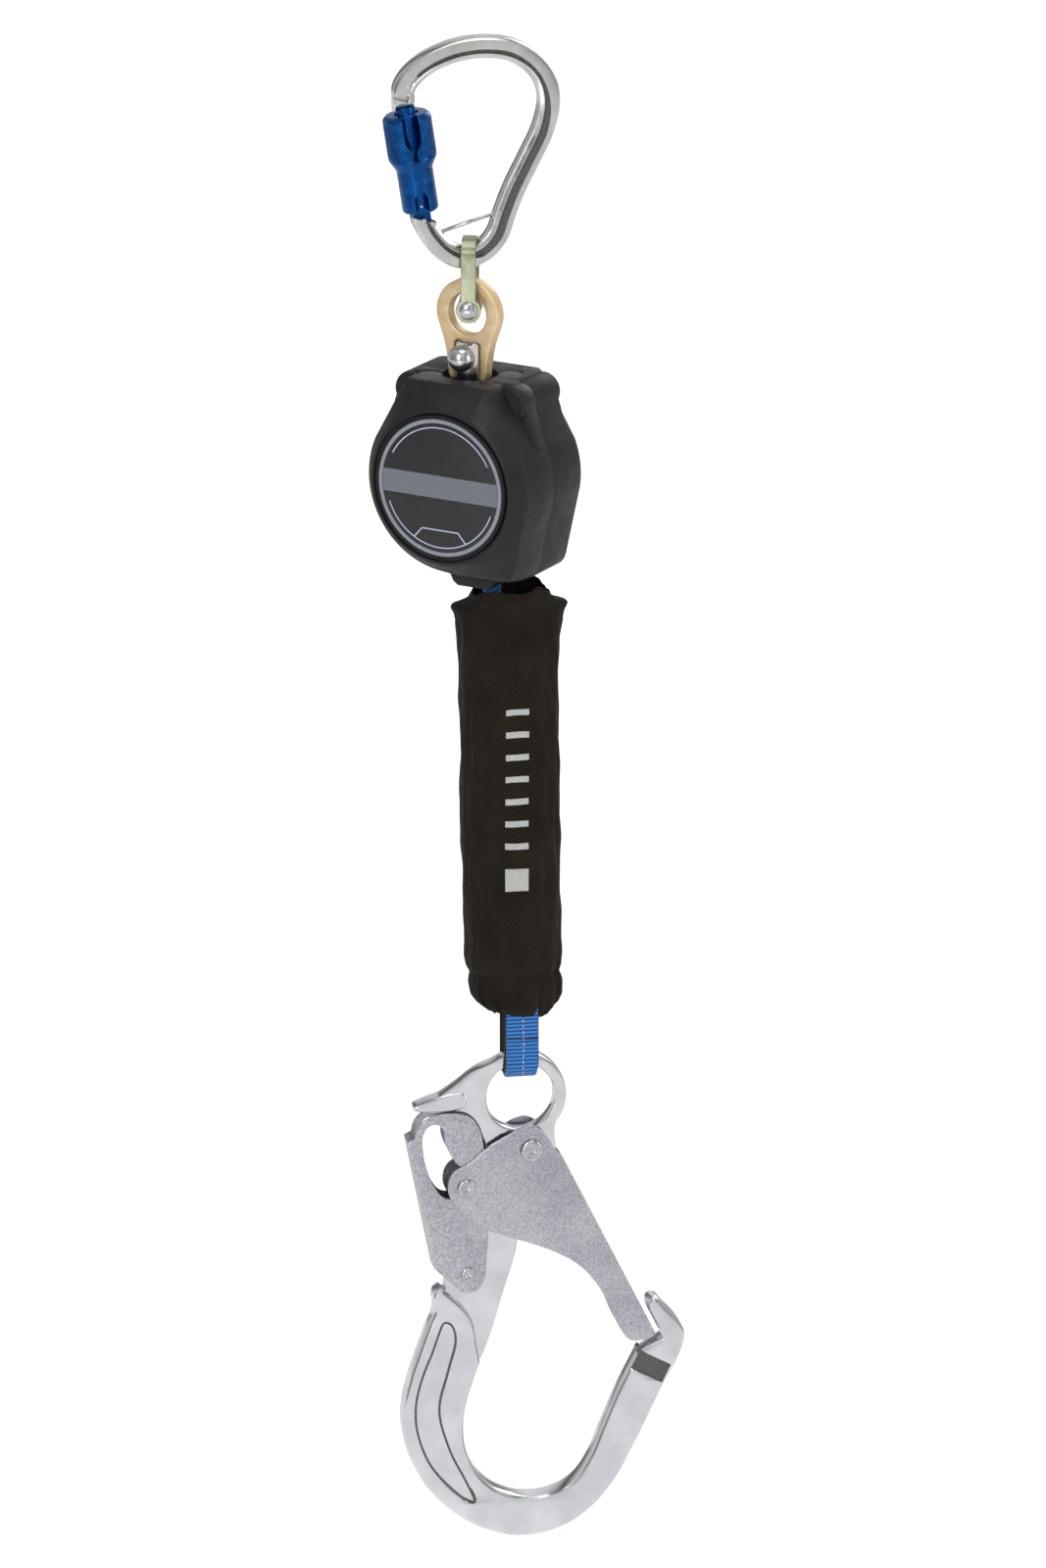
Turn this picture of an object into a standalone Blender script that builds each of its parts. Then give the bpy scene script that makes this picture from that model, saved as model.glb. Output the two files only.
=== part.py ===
"""Self retracting lifeline: carabiner, shackle, swivel eye, webbing reel in a two-part housing, shock pack
and a locking rebar hook. Metres, +Z up, front towards -Y. The origin is the middle of the carabiner's top
bar, the point that the whole device hangs from. Carabiner and hook lie in the XZ plane; the reel's
housing is turned about its vertical swivel."""

import math

import bmesh
import bpy
from mathutils import Matrix, Vector

MM = 0.001
GAP = 0.3  # millimetres left between neighbouring solids
UPRIGHT = Matrix.Identity(4)

# Driving dimensions, in millimetres.
HANG_X = -7.0            # vertical line of the shackle, swivel and housing
SHACKLE_TURN = -15.0     # degrees about Z
HOUSING_TURN = -40.0     # degrees about Z

BAR_WIDTH = 11.6         # carabiner bar, in its plane
BAR_DEPTH = 11.2         # carabiner bar, front to back
GATE_FOOT = (-31.3, -88.0)    # carabiner gate hinge, x and z
GATE_HEAD = (-40.4, -26.5)    # where the gate meets the nose
CAPTIVE_FOOT = (-27.2, -96.6)  # where the captive pin leaves the carabiner's hinge end
CAPTIVE_RISE = 17.3      # degrees
CAPTIVE_LENGTH = 47.0
SLEEVE_BORE = 6.2
SLEEVE_GRIP_R = 12.4
SLEEVE_BODY_R = 9.2

BAR_LOW_Z = -105.8       # centre of the strap's bend, on the carabiner's bottom bar
STRAP_INNER = 8.8        # half the gap between the strap's legs
STRAP_THICK = 2.0
STRAP_WIDTH = 7.5
RIVET_Z = -134.0
EYE_HOLE_Z = -137.6
EYE_HOLE_R = 10.5
EYE_THICK = 8.5
EYE_FOOT_Z = -172.0

HOUSING_TOP = -169.5
HOUSING_BOTTOM = -271.5
HOUSING_R = 49.0
HOUSING_HALF_DEPTH = 30.0
HOUSING_MID_Z = -222.0
WALL = 3.0
WELL_R = 14.2            # round pocket in the top for the turning eye
NECK_R = 3.9             # clearance round the swivel's neck
LABEL_R = 39.0
SCREWS = [(-32.0, -180.5), (32.0, -180.5), (-33.5, -252.0), (34.5, -261.5)]  # the first two sit in the lugs
LUG_R = 10.0
BOSS_R = 5.2
PLUG_AT = (17.6, 10.2)   # round plug in the top, mirrored for the other one

DRUM_X, DRUM_Z = -9.0, -222.0
HUB_R = 9.0
COIL_R = 21.1
WEB_WIDTH = 17.0
WEB_THICK = 1.2
WEB_X = 12.7             # where the webbing leaves, in the housing's own axes
WEB_TOP, WEB_LOW = -249.0, -322.0
SHAFT_R = 5.0
FLANGE_R = 30.0
TEETH = 12
RING_OUTER_R = 30.0
RING_TIP_R = 23.0
RING_ROOT_R = 27.0
PAWL_PIVOT_R = 15.0
PAWL_ANGLE = 60.0
# The pawl's outline as (radius, degrees) about the shaft: a heel on one side of its pivot, a nose on the other.
PAWL_OUTLINE = [(12.0, 80.0), (17.5, 86.0), (19.0, 70.0), (19.3, 52.0), (20.6, 36.0), (21.8, 28.0), (20.0,
                                                                                                     24.0),
                (16.6, 26.0), (12.4, 36.0), (11.4, 58.0)]

# The pack's cover as level sections: height, half width, half depth, centre x, centre y.
PACK_SECTIONS = [(-508.0, 19.0, 13.0, 17.4, 0.0), (-503.0, 22.5, 13.6, 16.8, 0.0), (-496.0, 25.0, 14.2,
                                                                                    15.8, -0.3),
                 (-470.0, 26.2, 15.0, 14.6, -1.0), (-440.0, 26.6, 15.3, 13.6, -1.6), (-380.0, 26.4, 15.4,
                                                                                      12.6, -2.8),
                 (-335.0, 26.4, 15.4, 12.0, -3.8), (-305.0, 27.2, 15.6, 11.6, -4.6), (-289.0, 28.8, 16.0,
                                                                                      11.4, -5.0)]
PACK_WALL = 1.2
LOOP_X = 18.0
LOOP_Z = -535.1          # centre of the webbing loop's bend, on the ring's top bar
LOOP_WIDTH = 17.0

RING_Z = -555.0
RING_HOLE_R = 17.8
RING_R = 24.0
GATE_PIVOT = (23.1, -583.0)
TAIL_PIN = (-11.1, -601.7)
LEVER_PIVOT = (-10.0, -649.4)
SHANK_HALF = 4.6
BOWL_HALF = 7.0
LEVER_INNER, LEVER_OUTER = 5.9, 7.2
GATE_INNER, GATE_OUTER = 7.5, 9.0

for old in list(bpy.data.objects):
    bpy.data.objects.remove(old)

parts = bpy.data.collections.new("self_retracting_lifeline")
cutters = bpy.data.collections.new("cutters")
bpy.context.scene.collection.children.link(parts)
bpy.context.scene.collection.children.link(cutters)


def material(name, colour, roughness, metallic):
    made = bpy.data.materials.new(name)
    made.use_nodes = True
    shader = made.node_tree.nodes["Principled BSDF"]
    shader.inputs["Base Color"].default_value = (*colour, 1.0)
    shader.inputs["Roughness"].default_value = roughness
    shader.inputs["Metallic"].default_value = metallic
    return made


FORGED = material("forged_satin_metal", (0.60, 0.60, 0.59), 0.28, 1.0)
BLUE = material("blue_anodised", (0.01, 0.09, 0.36), 0.35, 0.8)
STEEL = material("plated_steel", (0.62, 0.63, 0.66), 0.35, 1.0)
OLIVE = material("yellow_plated_strap", (0.45, 0.45, 0.33), 0.35, 1.0)
GOLD = material("gold_eye_plate", (0.72, 0.55, 0.30), 0.45, 0.6)
BLACK = material("black_moulding", (0.022, 0.022, 0.023), 0.55, 0.0)
GREY = material("label_grey", (0.10, 0.10, 0.11), 0.5, 0.0)
ALLOY = material("polished_alloy", (0.78, 0.79, 0.81), 0.18, 1.0)
BLUE_WEB = material("blue_webbing", (0.01, 0.13, 0.52), 0.8, 0.0)
BLACK_CLOTH = material("black_cloth", (0.018, 0.014, 0.011), 0.9, 0.0)

# Parent empties: one for each turned group and each joint axis.


def axis_empty(name, x=0.0, y=0.0, z=0.0, turn=0.0, parent=None):
    empty = bpy.data.objects.new(name, None)
    parts.objects.link(empty)
    empty.location = (x * MM, y * MM, z * MM)
    empty.rotation_euler = (0.0, 0.0, math.radians(turn))
    empty.parent = parent
    return empty


shackle_axes = axis_empty("shackle_axes", x=HANG_X, turn=SHACKLE_TURN)
housing_axes = axis_empty("housing_axes", x=HANG_X, turn=HOUSING_TURN)


def finished(obj, mat, parent=None, cutter=False, smooth=True):
    """Links the object to its collection, with its material, shading and parent."""
    (cutters if cutter else parts).objects.link(obj)
    obj.parent = parent
    if cutter:
        obj.hide_render = True
        obj.display_type = "WIRE"
    if mat is not None:
        obj.data.materials.append(mat)
    if smooth:
        obj.data.shade_smooth()
        obj.data.set_sharp_from_angle(angle=math.radians(35))
    return obj


def from_bmesh(name, bm, mat, parent=None, cutter=False):
    bmesh.ops.recalc_face_normals(bm, faces=bm.faces)
    mesh = bpy.data.meshes.new(name)
    bm.to_mesh(mesh)
    bm.free()
    return finished(bpy.data.objects.new(name, mesh), mat, parent, cutter)


def along_y(x, z, y=0.0):
    """Matrix that stands a Z-axis shape at (x, y, z) mm with its axis towards +Y."""
    return Matrix.Translation(Vector((x, y, z)) * MM) @ Matrix.Rotation(math.radians(-90), 4, "X")


def cylinder(name, radius, low, high, place, mat=None, parent=None, cutter=False, sides=20):
    """A cylinder from low to high mm along the local Z axis of the matrix place."""
    bm = bmesh.new()
    middle = Matrix.Translation((0, 0, (low + high) / 2 * MM))
    bmesh.ops.create_cone(bm, cap_ends=True, segments=sides, radius1=radius * MM, radius2=radius * MM,
                          depth=(high - low) * MM, matrix=place @ middle)
    return from_bmesh(name, bm, mat, parent, cutter)


def box(name, low, high, mat=None, parent=None, cutter=False, place=Matrix.Identity(4)):
    """A box between two corners in mm."""
    bm = bmesh.new()
    size = [(h - l) * MM for l, h in zip(low, high)]
    centre = Vector([(h + l) / 2 * MM for l, h in zip(low, high)])
    bmesh.ops.create_cube(bm, size=1.0, matrix=place @ Matrix.Translation(centre) @ Matrix.Diagonal((*size,
                                                                                                     1.0)))
    return from_bmesh(name, bm, mat, parent, cutter)


def turned(name, profile, place, mat, parent=None, cutter=False, steps=20, ring=False):
    """A turned piece: (radius, height) mm points from the top down its outer side, about place's Z axis."""
    mesh = bpy.data.meshes.new(name)
    points = [(r * MM, 0.0, z * MM) for r, z in profile]
    edges = [(i, i + 1) for i in range(len(points) - 1)]
    if ring:
        edges.append((len(points) - 1, 0))
    mesh.from_pydata(points, edges, [])
    obj = finished(bpy.data.objects.new(name, mesh), mat, parent, cutter, smooth=False)
    obj.matrix_local = place
    screw = obj.modifiers.new("Turn", "SCREW")
    screw.steps = screw.render_steps = steps
    screw.use_merge_vertices = True
    screw.merge_threshold = 0.00001
    screw.use_smooth_shade = True
    return obj


def meshed(curve_object):
    """The curve object as a welded mesh in its place; the curve is removed."""
    bpy.context.view_layer.update()
    graph = bpy.context.evaluated_depsgraph_get()
    mesh = bpy.data.meshes.new_from_object(curve_object.evaluated_get(graph))
    bm = bmesh.new()
    bm.from_mesh(mesh)
    bmesh.ops.remove_doubles(bm, verts=bm.verts, dist=0.000002)
    bmesh.ops.recalc_face_normals(bm, faces=bm.faces)
    bm.to_mesh(mesh)
    bm.free()
    place = curve_object.matrix_world.copy()
    name = curve_object.name
    bpy.data.objects.remove(curve_object)
    made = bpy.data.objects.new(name, mesh)
    made.matrix_world = place
    return made


def plate(name, loops, front, back, mat=None, parent=None, cutter=False, smooth=True, fineness=3):
    """A flat piece in the XZ plane from y front to y back (mm). Each loop holds (x, z) points, with a third
    item on a sharp corner; the loops after the first are holes. smooth=False joins them by straight lines."""
    curve = bpy.data.curves.new(name, "CURVE")
    curve.dimensions = "2D"
    curve.fill_mode = "BOTH"
    curve.extrude = (back - front) / 2 * MM
    curve.resolution_u = fineness
    for loop in loops:
        spline = curve.splines.new("BEZIER" if smooth else "POLY")
        if smooth:
            spline.bezier_points.add(len(loop) - 1)
            for knot, at in zip(spline.bezier_points, loop):
                knot.co = (at[0] * MM, at[1] * MM, 0.0)
                kind = "VECTOR" if len(at) > 2 else "AUTO"
                knot.handle_left_type = knot.handle_right_type = kind
        else:
            spline.points.add(len(loop) - 1)
            for knot, at in zip(spline.points, loop):
                knot.co = (at[0] * MM, at[1] * MM, 0.0, 1.0)
        spline.use_cyclic_u = True
    holder = bpy.data.objects.new(name, curve)
    parts.objects.link(holder)
    holder.matrix_world = (Matrix.Translation((0, (front + back) / 2 * MM, 0))
                           @ Matrix.Rotation(math.radians(90), 4, "X"))
    made = meshed(holder)
    place = made.matrix_world.copy()
    made.data.transform(place)
    made.matrix_world = Matrix.Identity(4)
    return finished(made, mat, parent, cutter)


def arc(x, z, radius, start, end, count):
    """Points on a circle about (x, z), from start to end degrees."""
    angles = [math.radians(start + (end - start) * i / (count - 1)) for i in range(count)]
    return [(x + radius * math.cos(a), z + radius * math.sin(a)) for a in angles]


def circle(x, z, radius, count=16):
    return arc(x, z, radius, 0, 360 * (count - 1) / count, count)


def bevel(obj, width, segments=1, angle=40):
    made = obj.modifiers.new("Bevel", "BEVEL")
    made.width = width * MM
    made.segments = segments
    made.limit_method = "ANGLE"
    made.angle_limit = math.radians(angle)
    return obj


def boolean(obj, other, operation="DIFFERENCE", solver="EXACT"):
    made = obj.modifiers.new(operation.title(), "BOOLEAN")
    made.operation = operation
    made.solver = solver
    made.object = other
    return obj


def spline_path(knots, per_span):
    """A smooth path through the knots (Catmull-Rom), as Vectors."""
    points = [Vector(k) for k in knots]
    ends = [points[0] * 2 - points[1]] + points + [points[-1] * 2 - points[-2]]
    path = []
    for i in range(1, len(ends) - 2):
        a, b, c, d = ends[i - 1:i + 3]
        for step in range(per_span):
            t = step / per_span
            path.append(0.5 * (2 * b + (c - a) * t + (2 * a - 5 * b + 4 * c - d) * t * t
                               + (3 * b - a - 3 * c + d) * t ** 3))
    path.append(points[-1])
    return path


def loft(name, sections, mat, parent=None, cutter=False):
    """A closed solid through sections, each a list of the same number of 3-D points in mm."""
    bm = bmesh.new()
    rings = [[bm.verts.new(Vector(p) * MM) for p in section] for section in sections]
    for lower, upper in zip(rings, rings[1:]):
        for i in range(len(lower)):
            j = (i + 1) % len(lower)
            bm.faces.new((lower[i], lower[j], upper[j], upper[i]))
    bm.faces.new(rings[0][::-1])
    bm.faces.new(rings[-1])
    return from_bmesh(name, bm, mat, parent, cutter)


def flat_path_loft(name, path, profile, mat, parent=None):
    """Sweeps a profile of (outward, y) mm points along a path of (x, z) Vectors in the XZ plane."""
    sections = []
    for i, here in enumerate(path):
        ahead = path[min(i + 1, len(path) - 1)] - path[max(i - 1, 0)]
        along = ahead.normalized()
        outward = Vector((-along.y, along.x))
        sections.append([(here.x + outward.x * n, y, here.y + outward.y * n) for n, y in profile])
    return loft(name, sections, mat, parent)


def rivet(name, x, z, shank_r, head_r, inner_y, head_thick, mat, parent=None, dome=0.4):
    """A rivet along Y through (x, z), with a low domed head past inner_y at each end."""
    top = inner_y + head_thick
    profile = [(0, top), (head_r * 0.55, top), (head_r * 0.86, top - dome * head_thick),
               (head_r, inner_y + 0.25 * head_thick), (head_r, inner_y), (shank_r, inner_y)]
    mirrored = [(r, -h) for r, h in reversed(profile)]
    return turned(name, profile + mirrored, along_y(x, z), mat, parent, steps=14)


def helix_spring(name, centre, axis, coil_r, wire_r, turns, length, mat, parent=None):
    """A compression or torsion spring as a wire wound about an axis."""
    curve = bpy.data.curves.new(name, "CURVE")
    curve.dimensions = "3D"
    curve.bevel_depth = wire_r * MM
    curve.bevel_resolution = 0
    curve.use_fill_caps = True
    spline = curve.splines.new("POLY")
    count = int(turns * 9) + 1
    spline.points.add(count - 1)
    turn_to = Vector((0, 0, 1)).rotation_difference(Vector(axis).normalized()).to_matrix()
    for i, knot in enumerate(spline.points):
        a = 2 * math.pi * i / 9
        local = Vector((coil_r * math.cos(a), coil_r * math.sin(a), length * (i / (count - 1) - 0.5)))
        knot.co = (*((turn_to @ local + Vector(centre)) * MM), 1.0)
    holder = bpy.data.objects.new(name, curve)
    parts.objects.link(holder)
    return finished(meshed(holder), mat, parent)


# Carabiner ---------------------------------------------------------------------------------------------

gate_foot, gate_head = Vector(GATE_FOOT), Vector(GATE_HEAD)
gate_dir = (gate_head - gate_foot).normalized()
gate_length = (gate_head - gate_foot).length
# Stands Z-axis shapes on the gate, with heights measured from its hinge.
GATE_PLACE = (Matrix.Translation(Vector((gate_foot.x, 0, gate_foot.y)) * MM)
              @ Matrix.Rotation(math.atan2(gate_dir.x, gate_dir.y), 4, "Y"))
# Stands Z-axis shapes on the captive pin, which crosses the bottom bow with a slight rise.
CAPTIVE_PLACE = (Matrix.Translation(Vector((CAPTIVE_FOOT[0], 0, CAPTIVE_FOOT[1])) * MM)
                 @ Matrix.Rotation(math.radians(90 - CAPTIVE_RISE), 4, "Y"))


def carabiner_frame():
    centreline = [(-40.9, -26.6), (-40.4, -19.0), (-34.6, -11.4), (-25.0, -5.2), (-13.2, -1.2), (0.0, 0.0),
                  (13.0, -2.0), (23.6, -8.4), (30.6, -18.0), (32.8, -29.5), (29.8, -43.5), (23.0, -58.0),
                  (15.8, -72.5), (10.6, -85.5), (6.6, -97.0), (-0.5, -105.0), (-10.2, -108.3),
                  (-19.2, -104.8), (-26.4, -97.0), (-31.0, -88.6)]
    half, deep = BAR_WIDTH / 2, BAR_DEPTH / 2
    front = [(half, -0.45 * deep), (0.76 * half, -deep), (0.10 * half, -deep), (-0.12 * half, -0.52 * deep),
             (-0.46 * half, -0.52 * deep), (-0.58 * half, -0.9 * deep), (-0.84 * half, -0.84 * deep),
             (-half, -0.4 * deep)]
    profile = front + [(n, -y) for n, y in reversed(front)]
    frame = flat_path_loft("carabiner_frame", spline_path(centreline, 2), profile, FORGED)
    tongue = plate("nose_tongue", [[(-46.5, -22.0), (-43.0, -22.0), (-43.4, -27.5), (-44.9, -27.5),
                                    (-45.2, -31.6), (-46.4, -31.6)]], -3.2, 3.2, cutter=True, smooth=False)
    boolean(frame, tongue, "UNION")
    slot = box("hinge_slot", (-6.5, -2.3, -4.2), (6.5, 2.3, 8.0), cutter=True, place=GATE_PLACE)
    boolean(frame, slot)
    boolean(frame, cylinder("hinge_hole", 1.8, -9, 9, along_y(*GATE_FOOT), cutter=True, sides=16))
    boolean(frame, cylinder("captive_hole", 1.4, -0.5, CAPTIVE_LENGTH + 2, CAPTIVE_PLACE, cutter=True,
                            sides=12))
    return frame


def gate_parts():
    top = gate_length - 2.2
    barrel = turned("gate_barrel", [(0, top), (4.2, top), (5.0, top - 0.8), (5.0, top - 4.5), (5.8,
                                                                                               top - 5.3),
                                    (5.8, 4.6), (5.0, 3.8), (0, 3.8)], GATE_PLACE, BLUE, steps=20)
    tongue = box("gate_tongue", (-4.4, -1.9, -2.6), (4.4, 1.9, 9.0), cutter=True, place=GATE_PLACE)
    boolean(barrel, tongue, "UNION")
    boolean(barrel, cylinder("gate_pin_hole", 1.8, -9, 9, along_y(*GATE_FOOT), cutter=True, sides=16))
    ball_at = GATE_PLACE @ Matrix.Translation((0, -4.3 * MM, 8.0 * MM))
    boolean(barrel, sphere("ball_pocket", 1.7, ball_at, cutter=True))
    sphere("gate_ball", 1.3, ball_at, STEEL)
    turned("gate_hinge_pin", [(0, 5.2), (1.5, 5.2), (1.5, -5.2), (0, -5.2)], along_y(*GATE_FOOT), STEEL,
           steps=16)
    turned("captive_pin", [(0, CAPTIVE_LENGTH), (1.0, CAPTIVE_LENGTH), (1.0, 0), (0, 0)], CAPTIVE_PLACE,
           STEEL, steps=12)


def sphere(name, radius, place, mat=None, cutter=False):
    bm = bmesh.new()
    bmesh.ops.create_uvsphere(bm, u_segments=10, v_segments=7, radius=radius * MM, matrix=place)
    return from_bmesh(name, bm, mat, None, cutter)


def lock_sleeve():
    grip_top = gate_length - 6.4
    bore = SLEEVE_BORE
    chamber = 8.4
    profile = [(bore, grip_top), (SLEEVE_GRIP_R - 1.6, grip_top), (SLEEVE_GRIP_R, grip_top - 1.8),
               (SLEEVE_GRIP_R, 32.5), (SLEEVE_BODY_R + 0.4, 28.0), (SLEEVE_BODY_R, 27.0),
               (SLEEVE_BODY_R, 5.8), (SLEEVE_BODY_R - 0.6, 5.0), (bore, 5.0), (bore, 34.0), (chamber, 34.0),
               (chamber, 47.0), (bore, 47.0)]
    sleeve = turned("lock_sleeve", profile, GATE_PLACE, BLUE, steps=28, ring=True)
    upper = box("upper_slot", (-4.2, -20, 43.0), (4.2, 0, 70), cutter=True, place=GATE_PLACE)
    vee = cylinder("upper_slot_end", 4.2, 0, 20,
                   GATE_PLACE @ Matrix.Translation((0, 0, 43.0 * MM)) @ Matrix.Rotation(math.radians(90), 4,
                                                                                        "X"),
                   cutter=True, sides=16)
    slit = box("upper_slit", (-1.1, -20, 36.0), (1.1, 0, 44), cutter=True, place=GATE_PLACE)
    lower = box("lower_slot", (-3.4, -20, -2), (3.4, 0, 12.5), cutter=True, place=GATE_PLACE)
    arch = cylinder("lower_slot_end", 3.4, 0, 20,
                    GATE_PLACE @ Matrix.Translation((0, 0, 12.5 * MM)) @ Matrix.Rotation(math.radians(90),
                                                                                         4, "X"),
                    cutter=True, sides=16)
    for cutter in (upper, vee, slit, lower, arch):
        boolean(sleeve, cutter)
    spring_at = GATE_PLACE @ Vector((0, 0, 40.5 * MM)) / MM
    helix_spring("sleeve_spring", spring_at, (gate_dir.x, 0, gate_dir.y), 7.1, 0.6, 5, 9.5, STEEL)


# Shackle and swivel eye --------------------------------------------------------------------------------

def shackle():
    leg = STRAP_INNER + STRAP_THICK / 2
    bend = [(leg * math.cos(math.radians(a)), BAR_LOW_Z + leg * math.sin(math.radians(a)))
            for a in range(0, 181, 15)]
    path = [Vector((leg, RIVET_Z - 1.0))] + [Vector(p) for p in bend] + [Vector((-leg, RIVET_Z - 1.0))]
    half = STRAP_THICK / 2
    sections = []
    for i, here in enumerate(path):
        along = (path[min(i + 1, len(path) - 1)] - path[max(i - 1, 0)]).normalized()
        side = Vector((-along.y, along.x)) * half
        w = STRAP_WIDTH / 2
        sections.append([(-w, here.x + side.x, here.y + side.y), (w, here.x + side.x, here.y + side.y),
                         (w, here.x - side.x, here.y - side.y), (-w, here.x - side.x, here.y - side.y)])
    strap = loft("shackle_strap", sections, OLIVE, shackle_axes)
    for name, low in (("strap_eye_back", STRAP_INNER), ("strap_eye_front", -STRAP_INNER - STRAP_THICK)):
        eye = cylinder(name, 6.5, low, low + STRAP_THICK, along_y(0, RIVET_Z), None, shackle_axes, True)
        boolean(strap, eye, "UNION")
    boolean(strap, cylinder("strap_rivet_hole", 3.3, -20, 20, along_y(0, RIVET_Z), None, shackle_axes, True,
                            20))
    rivet("shackle_rivet", 0, RIVET_Z, 3.0, 4.6, STRAP_INNER + STRAP_THICK + GAP, 1.7, STEEL, shackle_axes)
    turned("shackle_bush", [(3.3, 8.4), (6.2, 8.4), (6.2, -8.4), (3.3, -8.4)], along_y(0, RIVET_Z), STEEL,
           shackle_axes, steps=24, ring=True)


def swivel_eye():
    half = EYE_THICK / 2
    outline = (arc(0, EYE_HOLE_Z, 18.6, -12, 192, 19)
               + [(-14.6, -152.0), (-13.0, -160.0), (-12.8, EYE_FOOT_Z), (12.8, EYE_FOOT_Z), (13.0, -160.0),
                  (14.6, -152.0)])
    window = [(-8.4, -153.0), (-8.4, -166.0), (8.4, -166.0), (8.4, -153.0), (6.8, -151.4), (-6.8, -151.4)]
    eye = plate("eye_plate", [outline, circle(0, EYE_HOLE_Z, EYE_HOLE_R, 28), window], -half, half, GOLD,
                housing_axes, smooth=False)
    bevel(eye, 0.8)
    neck_hole = cylinder("eye_neck_hole", 3.7, -176, -163, UPRIGHT, None, housing_axes, True, 20)
    boolean(eye, neck_hole)
    neck = NECK_R - 0.5
    post = turned("swivel_post", [(0, -152.2), (5.6, -152.2), (6.9, -153.6), (6.9, -165.6), (neck, -165.6),
                                  (neck, -195.0), (0, -195.0)], UPRIGHT, STEEL, housing_axes)
    boolean(post, cylinder("dome_pin_hole", 2.3, -12, 12, along_y(0, -159.5), None, housing_axes, True, 16))
    turned("dome_pin", [(0, 8.2), (2.0, 8.2), (2.0, -7.3), (6.8, -7.3), (6.6, -9.6), (5.0, -12.2), (2.6,
                                                                                                    -13.6),
                        (0, -14.0)], along_y(0, -159.5), STEEL, housing_axes, steps=20)
    turned("swivel_washer", [(3.7, -182.2), (9.0, -182.2), (9.0, -183.4), (3.7, -183.4)], UPRIGHT,
           STEEL, housing_axes, steps=20, ring=True)
    nut = cylinder("swivel_nut", 8.0, -191.0, -183.8, UPRIGHT, STEEL, housing_axes, sides=6)
    boolean(nut, cylinder("nut_hole", 3.7, -200, -170, UPRIGHT, None, housing_axes, True, 20))


# Housing -----------------------------------------------------------------------------------------------


def housing_outline(inset=0.0):
    """The housing's outline, drawn in by inset mm: a circle with a flat top and one square lower corner."""
    r = HOUSING_R - inset
    left = arc(0, HOUSING_MID_Z, r, 158, 262, 14)
    right = arc(0, HOUSING_MID_Z, r, -8, 22, 5)
    top, low = HOUSING_TOP - inset, HOUSING_BOTTOM + inset
    corner = arc(34.0 - inset * 0.6, low + 6.0, 6.0, -90, -10, 5)
    return [(24.5 - inset * 0.8, top), (-24.5 + inset * 0.8, top)] + left + [(2.0, low)] + corner + right


def cover(name, side):
    """One half of the housing. side is -1 for the front cover and 1 for the rear one."""
    outer, split = side * HOUSING_HALF_DEPTH, side * 0.15
    low, high = sorted((outer, split))
    shell = plate(name, [housing_outline()], low, high, BLACK, housing_axes, smooth=False)
    bevel(shell, 2.6, angle=50)
    in_low, in_high = sorted((side * (HOUSING_HALF_DEPTH - WALL), -side * 2.0))
    inside = [(x, min(z, HOUSING_TOP - 7.0)) for x, z in housing_outline(WALL)]
    hollow = plate(name + "_hollow", [inside], in_low, in_high, None, housing_axes, True, smooth=False)
    boolean(shell, hollow)
    lug_end = -14.0 if side < 0 else 25.0
    for number, (x, z) in enumerate(SCREWS):
        radius, end = (LUG_R, lug_end) if number < 2 else (BOSS_R, side * 28.0)
        boss = cylinder(f"{name}_boss_{number}", radius, *sorted((end, split)), along_y(x, z), None,
                        housing_axes, True)
        boolean(shell, boss, "UNION")
    for number, (x, z) in enumerate(SCREWS):
        at = along_y(x, z)
        boolean(shell, cylinder(f"{name}_screw_hole_{number}", 2.1, -10.5, 40.0, at, None, housing_axes,
                                True, 12))
        if side > 0:
            boolean(shell, cylinder(f"{name}_screw_sink_{number}", 4.0, 20.5, 40.0, at, None, housing_axes,
                                    True, 16))
    boolean(shell, cylinder(name + "_well", WELL_R, -173.2, -150, UPRIGHT, None, housing_axes, True, 32))
    boolean(shell, cylinder(name + "_neck", NECK_R, -180, -150, UPRIGHT, None, housing_axes, True, 20))
    boolean(shell, box(name + "_web_slot", (WEB_X - 2.4, -10.5, -280), (WEB_X + 2.4, 10.5, -262), None,
                       housing_axes,
                       True))
    seat = Matrix.Translation((side * PLUG_AT[0] * MM, side * PLUG_AT[1] * MM, 0))
    boolean(shell, cylinder(name + "_plug_seat", 6.3, -171.3, -160, seat, None, housing_axes, True, 20))
    cylinder("top_plug_left" if side < 0 else "top_plug_right", 6.0, -171.0, -169.3, seat, GREY, housing_axes)
    return shell


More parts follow.
